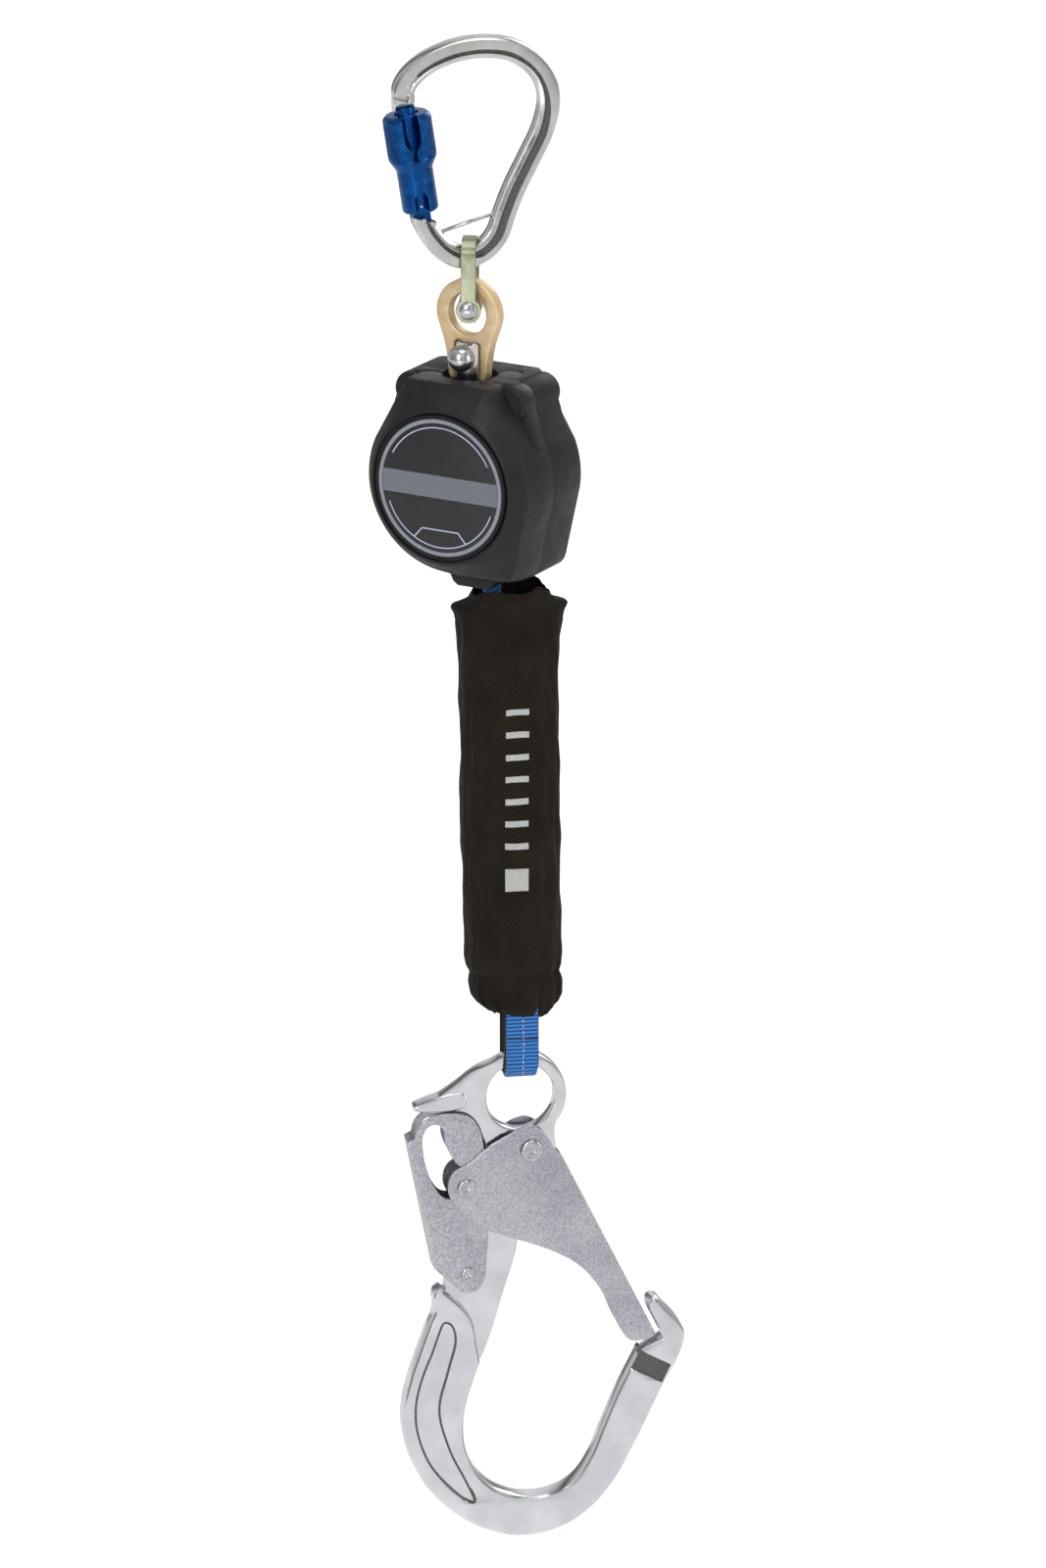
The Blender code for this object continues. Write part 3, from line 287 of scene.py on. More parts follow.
def raw(name, bm, *finishes):
    """A new object of the bmesh, facing outwards; finishes lists its materials by face index."""
    bmesh.ops.recalc_face_normals(bm, faces=bm.faces)
    if bm.calc_volume(signed=True) < 0:
        bmesh.ops.reverse_faces(bm, faces=bm.faces)
    mesh = bpy.data.meshes.new(name)
    bm.to_mesh(mesh)
    bm.free()
    obj = linked(name, mesh)
    for finish in finishes:
        mesh.materials.append(finish.mat)
    shaded(obj, 35)
    return obj


def placed(obj, body, slot, *replaced):
    """The object as a piece that rides on body, in place of the replaced nodes. slot is not used."""
    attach(obj, body)
    if replaced:
        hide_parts(*replaced)
    return obj


def piece(name, bm, finish, body, slot, replaced=(), sharp=35):
    """The bmesh as a finished piece."""
    obj = raw(name, bm, finish)
    shaded(obj, sharp)
    return placed(obj, body, slot, *replaced)


def applied(obj):
    """Makes the object's modifiers real in its mesh."""
    mesh = evaluated(obj)
    obj.modifiers.clear()
    obj.data = mesh


def combine(obj, bm, operation):
    """Cuts or joins at once, with a closed mesh that is never shown."""
    other = raw("tool", bm)
    made = obj.modifiers.new("Boolean", "BOOLEAN")
    made.operation, made.solver, made.object = operation, "MANIFOLD", other
    applied(obj)
    bpy.data.objects.remove(other)


def cut(obj, *bms):
    for bm in bms:
        combine(obj, bm, "DIFFERENCE")


def join(obj, *bms):
    for bm in bms:
        combine(obj, bm, "UNION")


def soften(obj, width, segments=2, angle=38, sharp=40):
    """Rounds the edges that are sharper than angle."""
    made = obj.modifiers.new("Bevel", "BEVEL")
    made.width, made.segments = width * MM, segments
    made.limit_method, made.angle_limit = "ANGLE", math.radians(angle)
    made.use_clamp_overlap = True
    applied(obj)
    shaded(obj, sharp)


def merged(bms):
    """One bmesh of several, each freed."""
    bm = bmesh.new()
    for part in bms:
        holder = bpy.data.meshes.new("part")
        part.to_mesh(holder)
        part.free()
        bm.from_mesh(holder)
        bpy.data.meshes.remove(holder)
    return bm


def grid(bm, rows, closed_u=True, closed_v=False, caps=True, uvs=None, index=None):
    """Faces through rows of points in mm. uvs(i, j) gives a UV in mm, index(i, j) a material."""
    verts = [[bm.verts.new(Vector(p) * MM) for p in row] for row in rows]
    layer = bm.loops.layers.uv.verify() if uvs else None
    count = len(rows[0])
    spans = len(rows) if closed_v else len(rows) - 1
    for i in range(spans):
        for j in range(count if closed_u else count - 1):
            corners = ((i, j), (i, j + 1), (i + 1, j + 1), (i + 1, j))
            face = bm.faces.new([verts[a % len(rows)][b % count] for a, b in corners])
            if index:
                face.material_index = index(i, j)
            if uvs:
                for loop, (a, b) in zip(face.loops, corners):
                    loop[layer].uv = uvs(a, b)
    if caps and not closed_v:
        bm.faces.new(verts[0][::-1])
        bm.faces.new(verts[-1])


def lathe(profile, place=UPRIGHT, steps=48, ring=False, relief=None):
    """A bmesh turned from (radius, height) points about place's Z axis. relief(angle, r, z) may move a radius."""
    bm = bmesh.new()
    rows = []
    for r, z in profile:
        row = []
        for k in range(steps):
            a = 2 * math.pi * k / steps
            reach = max(r, 0.001) if relief is None else relief(a, r, z)
            row.append((reach * math.cos(a), reach * math.sin(a), z))
        rows.append(row)
    grid(bm, rows, closed_v=ring, caps=not ring)
    bmesh.ops.remove_doubles(bm, verts=bm.verts, dist=0.000003)
    bm.transform(place)
    return bm


def along_y(x, z):
    """The place at x and z whose Z axis points back along +Y."""
    return shift(x, 0, z) @ turn(-90, "X")


def block(low, high, place=UPRIGHT):
    bm = bmesh.new()
    size = [(h - l) * MM for l, h in zip(low, high)]
    centre = Vector([(h + l) / 2 * MM for l, h in zip(low, high)])
    bmesh.ops.create_cube(bm, size=1.0, matrix=place @ Matrix.Translation(centre) @ Matrix.Diagonal((*size, 1)))
    return bm


def rod(radius, low, high, place, sides=32):
    return lathe([(0, high), (radius, high), (radius, low), (0, low)], place, sides)


def arc(x, z, radius, start, end, count):
    angles = [math.radians(start + (end - start) * i / (count - 1)) for i in range(count)]
    return [(x + radius * math.cos(a), z + radius * math.sin(a)) for a in angles]


def circle(x, z, radius, count=40):
    return arc(x, z, radius, 0, 360 * (count - 1) / count, count)


def sheet_metal(loops, front, back, edge=0.0, place=UPRIGHT, smooth=True, rounds=2):
    """A bmesh of a flat piece in the XZ plane with its rims rounded by edge mm. A third item in a point marks a
    sharp corner."""
    curve = bpy.data.curves.new("outline", "CURVE")
    curve.dimensions = "2D"
    curve.fill_mode = "BOTH"
    curve.extrude = ((back - front) / 2 - edge) * MM
    curve.bevel_depth = edge * MM
    curve.bevel_resolution = rounds
    curve.offset = -edge * MM
    curve.resolution_u = 8
    for loop in loops:
        spline = curve.splines.new("BEZIER" if smooth else "POLY")
        if smooth:
            spline.bezier_points.add(len(loop) - 1)
            for knot, at in zip(spline.bezier_points, loop):
                knot.co = (at[0] * MM, at[1] * MM, 0.0)
                kind = "VECTOR" if len(at) > 2 else "AUTO"
                knot.handle_left_type = knot.handle_right_type = kind
        else:
            spline.points.add(len(loop) - 1)
            for knot, at in zip(spline.points, loop):
                knot.co = (at[0] * MM, at[1] * MM, 0.0, 1.0)
        spline.use_cyclic_u = True
    holder = linked("outline", curve)
    mesh = evaluated(holder)
    bpy.data.objects.remove(holder)
    bm = bmesh.new()
    bm.from_mesh(mesh)
    for uv in list(bm.loops.layers.uv):
        bm.loops.layers.uv.remove(uv)
    bmesh.ops.remove_doubles(bm, verts=bm.verts, dist=0.000002)
    bm.transform(place @ shift(0, (front + back) / 2, 0) @ turn(90, "X"))
    bmesh.ops.recalc_face_normals(bm, faces=bm.faces)
    return bm


def spline_path(knots, per_span):
    """A smooth path through the knots (Catmull-Rom), as Vectors."""
    points = [Vector(k) for k in knots]
    ends = [points[0] * 2 - points[1]] + points + [points[-1] * 2 - points[-2]]
    path = []
    for i in range(1, len(ends) - 2):
        a, b, c, d = ends[i - 1:i + 3]
        for step in range(per_span):
            t = step / per_span
            path.append(0.5 * (2 * b + (c - a) * t + (2 * a - 5 * b + 4 * c - d) * t * t
                               + (3 * b - a - 3 * c + d) * t ** 3))
    path.append(points[-1])
    return path


def heading(path, i):
    """The path's direction at point i."""
    return (path[min(i + 1, len(path) - 1)] - path[max(i - 1, 0)]).normalized()


def smooth_step(x, low, high):
    t = min(max((x - low) / (high - low), 0.0), 1.0)
    return t * t * (3 - 2 * t)


# Carabiner ---------------------------------------------------------------------------------------------

def carabiner():
    """The bow, swept along its middle line, with a groove that is wider down the spine and ends at the gate."""
    knots = [(-40.9, -26.6), (-40.4, -19), (-34.6, -11.4), (-25, -5.2), (-13.2, -1.2), (0, 0),
             (13, -2), (23.6, -8.4), (30.6, -18), (32.8, -29.5), (29.8, -43.5), (23, -58),
             (15.8, -72.5), (10.6, -85.5), (6.6, -97), (-0.5, -105), (-10.2, -108.3),
             (-19.2, -104.8), (-26.4, -97), (-31, -88.6), (-31.75, -85)]
    path = spline_path(knots, 9)
    half, deep = 5.75, 5.55
    rows, last = [], len(path) - 1
    for i, here in enumerate(path):
        t = i / last
        along = heading(path, i)
        outward = Vector((-along.y, along.x))
        wide = smooth_step(t, 0.40, 0.52) * (1 - smooth_step(t, 0.74, 0.84))
        ends = smooth_step(t, 0.045, 0.13) * (1 - smooth_step(t, 0.93, 0.985))
        outer = -0.10 * half + 0.42 * half * wide
        inner = outer - (0.36 + 0.34 * wide) * half
        floor = deep * (1 - 0.46 * ends)
        lip = deep * (1 - 0.07 * ends)
        front = [(half, 0.25 * deep), (0.97 * half, 0.60 * deep), (0.90 * half, 0.82 * deep),
                 (0.78 * half, 0.97 * deep), (0.62 * half, deep), (outer + 0.06 * half, deep),
                 (outer, 0.97 * deep - (deep - floor) * 0.05), (outer - 0.05 * half, floor + 0.02 * deep),
                 (outer - 0.10 * half, floor), (inner + 0.10 * half, floor),
                 (inner + 0.05 * half, floor + 0.02 * deep), (inner, lip * 0.97), (inner - 0.05 * half, lip),
                 (inner - 0.16 * half, lip * 0.985), (min(inner - 0.24 * half, -0.86 * half), 0.78 * deep),
                 (-0.97 * half, 0.52 * deep), (-half, 0.2 * deep)]
        profile = [(n, -y) for n, y in front] + [(n, y) for n, y in reversed(front)]
        rows.append([(here.x + outward.x * n, y, here.y + outward.y * n) for n, y in profile])
    count = len(rows[0])
    # The groove's faces take the second material, whose dark colour is painted shade in the groove.
    grooved = (7, 8, 9, count - 11, count - 10, count - 9)
    bm = bmesh.new()
    grid(bm, rows, index=lambda i, j: 1 if j in grooved and 0.09 * last < i < 0.965 * last else 0)
    bow = raw("carabiner_bow", bm, FORGED, GROOVE_SHADE)
    join(bow, sheet_metal([[(-46.4, -21), (-42.6, -21), (-43.2, -27.4), (-44.8, -27.8), (-45.1, -31.4),
                            (-46.3, -31.4)]], -3.1, 3.1, 0.4, smooth=False))
    cut(bow, block((-6.2, -7, -1.2), (1.8, -2.4, 2.2), GATE @ shift(0, 0, 64) @ turn(24, "Y")),
        block((-6.5, -2.3, -4.2), (6.5, 2.3, 8), GATE),
        block((-9, -8, 0), (9, 8, 14), GATE @ shift(0, 0, 0.4) @ turn(25, "Y")),
        block((0.6, -7.5, -3.4), (6.4, -4.2, 3), GATE))
    shaded(bow, 32)
    placed(bow, "carabiner", "forged_satin_metal", "carabiner_frame")


def sleeve():
    """The knurled sleeve with its upper keyhole slot and lower slot, the gate inside it and the locking ball."""
    top, grip, smooth, bore = GATE_LENGTH - 6.4, 12.25, 9.2, 6.2
    knurls, pitch = 36, 2.1
    knurl_low, knurl_high = 33.6, top - 2.4

    def knurl(angle, r, z):
        """Two crossing sets of ridges round the grip, faded out at its ends."""
        if r < grip - 0.7 or not knurl_low < z < knurl_high:
            return max(r, 0.001)
        phase = math.pi * z / pitch
        ridges = abs(math.sin(knurls * angle / 2 + phase)) + abs(math.sin(knurls * angle / 2 - phase))
        fade = smooth_step(z, knurl_low, knurl_low + 1) * (1 - smooth_step(z, knurl_high - 1, knurl_high))
        return r - 0.46 + 0.33 * ridges * fade + 0.40 * (1 - fade)

    rows = 54
    wall = [(grip, 32.9 + (top - 2.0 - 32.9) * (1 - i / rows)) for i in range(rows + 1)]
    profile = ([(bore, top), (grip - 2.1, top), (grip - 1.7, top - 0.15), (grip - 0.2, top - 1.6)] + wall
               + [(grip - 0.2, 32.3), (smooth + 0.6, 28.2), (smooth + 0.15, 27.3), (smooth, 26.6), (smooth, 6.4),
                  (smooth - 0.2, 5.6), (smooth - 0.8, 5), (bore, 5), (bore, 30)])
    grip_piece = raw("twist_sleeve", lathe(profile, GATE, 264, True, knurl), BLUE)

    def slot_end(radius, height):
        return rod(radius, 0, 20, GATE @ shift(0, 0, height) @ turn(90, "X"))

    cut(grip_piece, slot_end(4.2, 43.6), block((-4.2, -20, 43.6), (4.2, 0, 70), GATE),
        sheet_metal([[(-3.6, 41.4), (3.6, 41.4), (1, 37.6), (-1, 37.6)]], -20, 0, 0, GATE, smooth=False),
        block((-1, -20, 33.8), (1, 0, 44), GATE), slot_end(1, 33.8),
        slot_end(3.4, 12.5), block((-3.4, -20, -2), (3.4, 0, 12.5), GATE))
    shaded(grip_piece, 42)
    placed(grip_piece, "lock_sleeve", "blue_anodised", "lock_sleeve")

    end = GATE_LENGTH - 2.2
    barrel = [(0, end), (3.9, end), (4.7, end - 0.4), (5, end - 1.2), (5, end - 4.5), (5.8, end - 5.3),
              (5.8, 4.9), (5.5, 4.2), (5, 3.8), (0, 3.8)]
    core = raw("gate_core", lathe(barrel, GATE, 48), BLUE)
    join(core, block((-4.4, -1.9, -2.6), (4.4, 1.9, 9), GATE))
    cut(core, block((-1.2, -9, 44), (1.2, -5.1, 70), GATE))
    shaded(core, 35)
    placed(core, "carabiner_gate", "blue_anodised", "gate_barrel", "sleeve_spring")
    half_round = [(1.35 * math.sin(math.pi * i / 16), 1.35 * math.cos(math.pi * i / 16)) for i in range(17)]
    piece("detent_ball", lathe(half_round, GATE @ shift(0, -4.6, 8), 24), PIN, "carabiner_gate", "plated_steel",
          ("gate_ball",))


# Shackle and swivel eye --------------------------------------------------------------------------------

def strap():
    low, rivet, inner, thick = -105.8, -134, 8.8, 2.0
    crown = 0.72  # the bend over the bar is flatter than a half circle
    leg = inner + thick / 2
    path = [Vector((leg, rivet - 6)), Vector((leg, rivet + 8))]
    path += [Vector((y, low + (z - low) * crown)) for y, z in arc(0, low, leg, 0, 180, 33)]
    path += [Vector((-leg, rivet + 8)), Vector((-leg, rivet - 6))]
    w, h, r = 3.75, thick / 2, 0.35
    section = [(w, -h + r), (w, h - r), (w - r, h), (-w + r, h), (-w, h - r), (-w, -h + r), (-w + r, -h),
               (w - r, -h)]
    rows = []
    for i, here in enumerate(path):
        along = heading(path, i)
        side = Vector((-along.y, along.x))
        rows.append([(x, here.x + side.x * n, here.y + side.y * n) for x, n in section])
    bm = bmesh.new()
    grid(bm, rows)
    bm.transform(SHACKLE)
    band = raw("shackle_band", bm, STRAP)
    rivet_axis = SHACKLE @ along_y(0, rivet)
    for y in (inner, -inner - thick):
        join(band, lathe([(0, y + thick), (6.1, y + thick), (6.45, y + thick - 0.35), (6.45, y + 0.35), (6.1, y),
                          (0, y)], rivet_axis, 40))
    cut(band, rod(3.3, -20, 20, rivet_axis))
    shaded(band, 30)
    placed(band, "shackle", "yellow_plated_strap", "shackle_strap")


def swivel_eye():
    half, eye_z = 3.4, -137.6
    leg_side = [(-14, -151.5), (-12.4, -158), (-11.2, -166), (-10.8, -170.4), (-9.6, -172), (-7.9, -172),
                (-7.6, -171.6), (-7.6, -153.2), (-5.9, -151.4)]
    outline = arc(0, eye_z, 18, -14, 194, 48) + leg_side + [(-x, z) for x, z in reversed(leg_side)]
    eye = sheet_metal([outline, circle(0, eye_z, 10.8, 56)], -half, half, 0.9, HOUSING, smooth=False)
    piece("gold_eye", eye, GOLD, "swivel_eye", "gold_eye_plate", ("eye_plate",), 32)
    barrel = [(0, -152.3), (6.2, -152.3), (7.2, -153.2), (7.2, -171.6), (6.7, -172.4), (3.4, -172.6), (3.4, -195),
              (0, -195)]
    piece("swivel_barrel", lathe(barrel, HOUSING, 56), ALLOY, "swivel_eye", "plated_steel", ("swivel_post",), 30)
    pin = [(0, 8.2), (1.8, 8.2), (2, 8), (2, -3.6)]
    dome = [(6.9 * math.cos(math.radians(a)), -8.8 - 6.9 * math.sin(math.radians(a))) for a in range(-42, 91, 6)]
    piece("swivel_dome", lathe(pin + dome, HOUSING @ along_y(0, -159.5), 56), PIN, "swivel_eye", "plated_steel",
          ("dome_pin",), 30)


def rivet_head(name, x, z, radius, reach, body, replaced, centre=0.34):
    """A rivet along Y whose two ends show a rolled rim, a flat and a punched centre."""
    # (share of the radius, depth below the end)
    steps = [(0, 0.75), (0.10, 0.70), (centre * 0.75, 0.30), (centre, 0.12), (0.46, 0.18), (0.60, 0.10), (0.72, 0),
             (0.84, 0.10), (0.95, 0.45), (1, 0.9), (0.99, 1.35), (0.62, 1.45)]
    face = [(radius * share, reach - depth) for share, depth in steps]
    profile = face + [(r, -h) for r, h in reversed(face)]
    piece(name, lathe(profile, along_y(x, z), 48), PIN, body, "plated_steel", (replaced,), 30)


# Housing -----------------------------------------------------------------------------------------------

MID_Z, HOUSING_R, DEPTH = -222, 49, 30.0
TOP, BOTTOM = -169.5, -271.5
WEB_X = 12.7
REEL = HOUSING @ along_y(0, MID_Z)
ROUND = 224  # points round a ring of the shell
LUG_X, LUG_Z, LUG_R = 29, -179.4, 9.4
SCREWS = (-32, -180.5), (32, -180.5), (-33.5, -252), (34.5, -261.5)


def housing_outline(inset=0, top=TOP):
    """The reel's outline drawn in by inset mm: a circle with a flat top and one square lower corner."""
    r, low = HOUSING_R - inset, BOTTOM + inset
    return ([(24.5 - inset * 0.3, top), (-24.5 + inset * 0.3, top)] + arc(0, MID_Z, r, 156, 262, 44) + [(2, low)]
            + arc(34.0 - inset * 0.6, low + 6, 6, -90, -10, 7) + arc(0, MID_Z, r, -8, 22, 14))


def reaches(outline):
    """How far the outline lies from the reel's axis in each of ROUND directions, as (cosine, sine, reach)."""
    found = []
    for k in range(ROUND):
        c, s = math.cos(2 * math.pi * k / ROUND), math.sin(2 * math.pi * k / ROUND)
        furthest = 0.0
        for (ax, az), (bx, bz) in zip(outline, outline[1:] + outline[:1]):
            az, bz = az - MID_Z, bz - MID_Z
            across = c * (bz - az) - s * (bx - ax)
            if abs(across) > 1e-9 and -1e-6 <= (ax * s - az * c) / across <= 1 + 1e-6:
                furthest = max(furthest, (ax * (bz - az) - az * (bx - ax)) / across)
        found.append((c, s, furthest))
    return found


def shell_solid(levels):
    """A bmesh through rings given as (y, inset, top z, share of a plain circle, that circle's radius)."""
    rows = []
    for y, inset, top, share, radius in levels:
        blended = [(c, s, r + (radius - r) * share) for c, s, r in reaches(housing_outline(inset, top))]
        rows.append([(r * c, y, MID_Z + r * s) for c, s, r in blended])
    bm = bmesh.new()
    grid(bm, rows)
    bm.transform(HOUSING)
    return bm


FRONT = [(12, 0, TOP, 0, 0), (0, 0, TOP, 0, 0), (-12, 0.8, TOP, 0, 0), (-20.5, 2.2, TOP, 0, 0),
         (-22.6, 2.7, TOP - 0.05, 0, 0), (-23.1, 2.95, TOP - 0.2, 0, 0), (-23.5, 3.4, TOP - 0.6, 0, 0),
         (-23.8, 4, TOP - 1.2, 0, 0), (-28.9, 5, TOP - 2.2, 0.84, 41), (-29.7, 6, TOP - 3, 0.96, 40.6),
         (-30, 6, TOP - 3, 1, 39.9), (-30, 6, TOP - 3, 1, 38.2)]
REAR = [(-12, 0, TOP, 0, 0), (26.5, 0.3, TOP, 0, 0), (28.4, 0.8, TOP - 0.4, 0, 0), (29.4, 1.6, TOP - 1, 0, 0),
        (29.9, 2.8, TOP - 2, 0, 0), (DEPTH, 4.4, TOP - 3.4, 0, 0)]


def half_shell(front):
    """One half of the reel with its two lugs, its share of the openings and its dark plug."""
    shell = raw("reel_front" if front else "reel_rear", shell_solid(FRONT if front else REAR), BLACK)
    near, far = (-11, 8) if front else (-8, 26)
    web_ends = (near + 2.5, far) if front else (near, far - 2.5)
    for x in (-1, 1):
        web = [(x * 18, TOP + 0.2), (x * 28.5, TOP + 0.2), (x * 38.1, -181), (x * 44.4, -201.5), (x * 22, -201.5)]
        lug = circle(x * LUG_X, LUG_Z, LUG_R, 48)
        join(shell, sheet_metal([lug], near, far, 2.4, HOUSING, smooth=False, rounds=4),
             sheet_metal([web], *web_ends, 1.6, HOUSING, smooth=False, rounds=3))
    other_low, other_high = (-0.15, 60) if front else (-60, 0.15)
    side = -1 if front else 1
    seat = HOUSING @ shift(side * 17.6, side * 10.2, 0)
    cut(shell, block((-90, other_low, -300), (90, other_high, -140), HOUSING),
        rod(14.2, -173.2, -150, HOUSING, 56), rod(3.9, -182, -150, HOUSING, 32),
        block((WEB_X - 2.4, -10.5, -285), (WEB_X + 2.4, 10.5, -255), HOUSING),
        rod(6.4, -170.6, -150, seat, 48))
    if front:
        cut(shell, lathe([(0, -DEPTH - 5), (40, -DEPTH - 5), (39, -DEPTH - 0.6), (39, -DEPTH + 1.6),
                          (0, -DEPTH + 1.6)], REEL, 128))
    else:
        for x, z in SCREWS:
            if z < MID_Z:
                join(shell, rod(5.9, 4, 24.6, HOUSING @ along_y(x, z), 40))
            cut(shell, rod(4, 20.5, 60, HOUSING @ along_y(x, z), 32))
    soften(shell, 0.4, 2, 50, 34)
    placed(shell, "housing", "black_moulding", "front_cover" if front else "rear_cover")
    plug = "top_plug_left" if front else "top_plug_right"
    disc = [(0, -169.6), (5.4, -169.6), (5.9, -169.75), (6.1, -170.2), (6.1, -170.6), (0, -170.6)]
    piece(plug + "_disc", lathe(disc, seat, 56), PATCH, "housing", "label_grey", (plug,), 30)


def label_cap():
    face, cap = -DEPTH, 37.6
    rim = [(0, face + 1.3), (cap - 0.4, face + 1.3), (cap, face + 0.9), (cap, face - 0.05), (cap - 0.25, face - 0.50),
           (cap - 0.8, face - 0.55), (cap - 1.05, face - 0.20), (cap - 1.15, face), (0, face)]
    ring = raw("label_rim", lathe(rim, REEL, 128), BLACK)
    cut(ring, rod(1.6, -40, -20, HOUSING @ along_y(0, MID_Z - cap), 24))
    shaded(ring, 35)
    placed(ring, "housing", "black_moulding", "label_cap")


def label():
    """A plain film with rings, arcs, a band and a frame, each a thin solid a little prouder than the last."""
    low, top, radius = -DEPTH - 0.05, -DEPTH - 0.5, 36.3
    film = [(0, low), (radius, low), (radius, top + 0.08), (radius - 0.15, top), (0, top)]
    piece("label_film", lathe(film, REEL, 128), LABEL, "housing", "label_grey", ("label_disc",), 30)

    def layer(name, loop_sets, finish, proud):
        solids = [sheet_metal(loops, top - proud, top + 0.1, 0, HOUSING, smooth=False) for loops in loop_sets]
        piece(name, merged(solids), finish, "housing", "label_grey", (), 30)

    def strip(start, end, count=60):
        return [arc(0, MID_Z, 31.6, start, end, count) + arc(0, MID_Z, 31, end, start, count)]

    reach = 33.4
    low_end, high_end = (math.degrees(math.asin(rise / reach)) for rise in (-5.6, 6.2))
    band = arc(0, MID_Z, reach, low_end, high_end, 12) + arc(0, MID_Z, reach, 180 - high_end, 180 - low_end, 12)
    layer("label_band", [[band]], LABEL_BAND, 0.05)
    layer("label_outer_ring", [[circle(0, MID_Z, 35.6, 128), circle(0, MID_Z, 33.7, 128)[::-1]]], LABEL_RING, 0.06)
    layer("label_arcs", [strip(28, 152), strip(200, 340, 80)], LABEL_LINE, 0.07)
    frame_line = [(-15.4, -27.3), (-10.6, -21.9), (10.6, -21.9), (15.4, -27.3),
                  (14.7, -27.6), (10.3, -22.55), (-10.3, -22.55), (-14.7, -27.6)]
    layer("label_frame", [[[(x, MID_Z + z) for x, z in frame_line]]], LABEL_LINE, 0.08)


def nozzle():
    outline = [(-17.5, -270.9), (-15.4, -275.4), (-12.5, -277.5), (4.6, -277.5), (7, -275.2), (7, -270.9)]
    lug = raw("nozzle_lug", sheet_metal([[(WEB_X + x, z) for x, z in outline]], -14, 14, 1.4, HOUSING, smooth=False,
                                        rounds=3), BLACK)
    cut(lug, block((WEB_X - 2, -10.2, -290), (WEB_X + 2, 10.2, -260), HOUSING))
    soften(lug, 0.5, 2, 44)
    placed(lug, "housing", "black_moulding", "web_nozzle")


# Webbing and pack --------------------------------------------------------------------------------------

def ribbed_section(width, thick, count=14):
    """Points all the way round a webbing with soft edges: (across, through)."""
    half, edge = width / 2, thick / 2
    near, low = half - 0.15 * thick, edge * 0.8
    top = [(half * (2 * k / count - 1), edge) for k in range(1, count)]
    return ([(-half, 0), (-near, low)] + top + [(near, low), (half, 0), (near, -low)]
            + [(a, -edge) for a, _ in reversed(top)] + [(-near, -low)])


def webbing(name, path, across, width, thick, pitch, relief, finish, place=UPRIGHT):
    """A strap along a path of points in mm, with cross ribs in its shape. across is its width direction."""
    section = ribbed_section(width, thick)
    rows, lengths, run = [], [], 0.0
    for i, here in enumerate(path):
        if i:
            run += (here - path[i - 1]).length
        lengths.append(run)
        along = heading(path, i)
        through = along.cross(across).normalized()
        wave = relief * (abs(math.sin(math.pi * run / pitch)) - 0.6)
        rows.append([here + across * a + through * (n + math.copysign(wave, n) if abs(n) > thick * 0.45 else n)
                     for a, n in section])
    bm = bmesh.new()
    grid(bm, rows, uvs=lambda i, j: (section[j % len(section)][0], lengths[i]))
    bm.transform(place)
    obj = raw(name, bm, finish)
    shaded(obj, 60)
    return obj


def dense(points, step):
    """The same path with a point about every step mm."""
    made = []
    for a, b in zip(points, points[1:]):
        count = max(1, round((b - a).length / step))
        made += [a.lerp(b, k / count) for k in range(count)]
    return made + [points[-1]]


def lifeline():
    """The webbing from the reel into the pack: a fixed straight strap down past the nozzle."""
    path = dense([Vector((WEB_X, 0, -249)), Vector((WEB_X, 0, -322))], 0.4)
    strap_piece = webbing("lifeline_strap", path, Vector((0, 1, 0)), 17, 1.2, 2, 0.16, WEB, HOUSING)
    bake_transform(strap_piece)
    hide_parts("lifeline_web")


LOOP_X, LOOP_Z = 18, -535.1


def hairpin(radius, top):
    """Down the front, round the ring's bar and up the back."""
    bend = [Vector((LOOP_X, y, z)) for y, z in arc(0, LOOP_Z, radius, 180, 360, 40)]
    return dense([Vector((LOOP_X, -radius, top))] + bend + [Vector((LOOP_X, radius, top))], 0.4)


def end_loop():
    width_way = Vector((1, 0, 0))
    placed(webbing("hook_strap", hairpin(8.7, -496), width_way, 16.6, 2.2, 2.1, 0.22, WEB), "lifeline",
           "blue_webbing", "end_loop")
    # A black lining inside the blue loop, whose edges show beside it: painted shade of the webbing's fold.
    placed(webbing("loop_fold_shade", hairpin(6.9, -509.5), width_way, 18, 0.6, 1.1, 0.05, FOLD_SHADE), "lifeline",
           "black_cloth", "wear_sleeve")
    line = hairpin(9.95, -500)
    stitches = []
    for at in range(4, len(line) - 5, 8):
        a, b = line[at], line[at + 5]
        middle = (a + b) / 2 + Vector((0.14 * math.sin(at * 1.7) + 0.5, 0, 0))
        lie = (b - a).normalized().to_track_quat("Z", "Y").to_matrix().to_4x4()
        stitches.append(lathe([(0, 1.05), (0.22, 0.85), (0.30, 0.4), (0.30, -0.4), (0.22, -0.85), (0, -1.05)],
                              shift(*middle) @ lie, 8))
    piece("centre_stitches", merged(stitches), THREAD, "lifeline", "blue_webbing")
    bar = [(LOOP_X - 8.2 + 16.4 * i / 24, -9.98 - 0.05 * math.sin(i * 1.3), -521.6 - 0.02 * i) for i in range(25)]
    rows = [[(x, y - 0.32 * math.cos(a), z + 0.42 * math.sin(a)) for a in (2 * math.pi * k / 8 for k in range(8))]
            for x, y, z in bar]
    bm = bmesh.new()
    grid(bm, rows)
    piece("cross_stitch", bm, DARK_THREAD, "lifeline", "black_cloth")


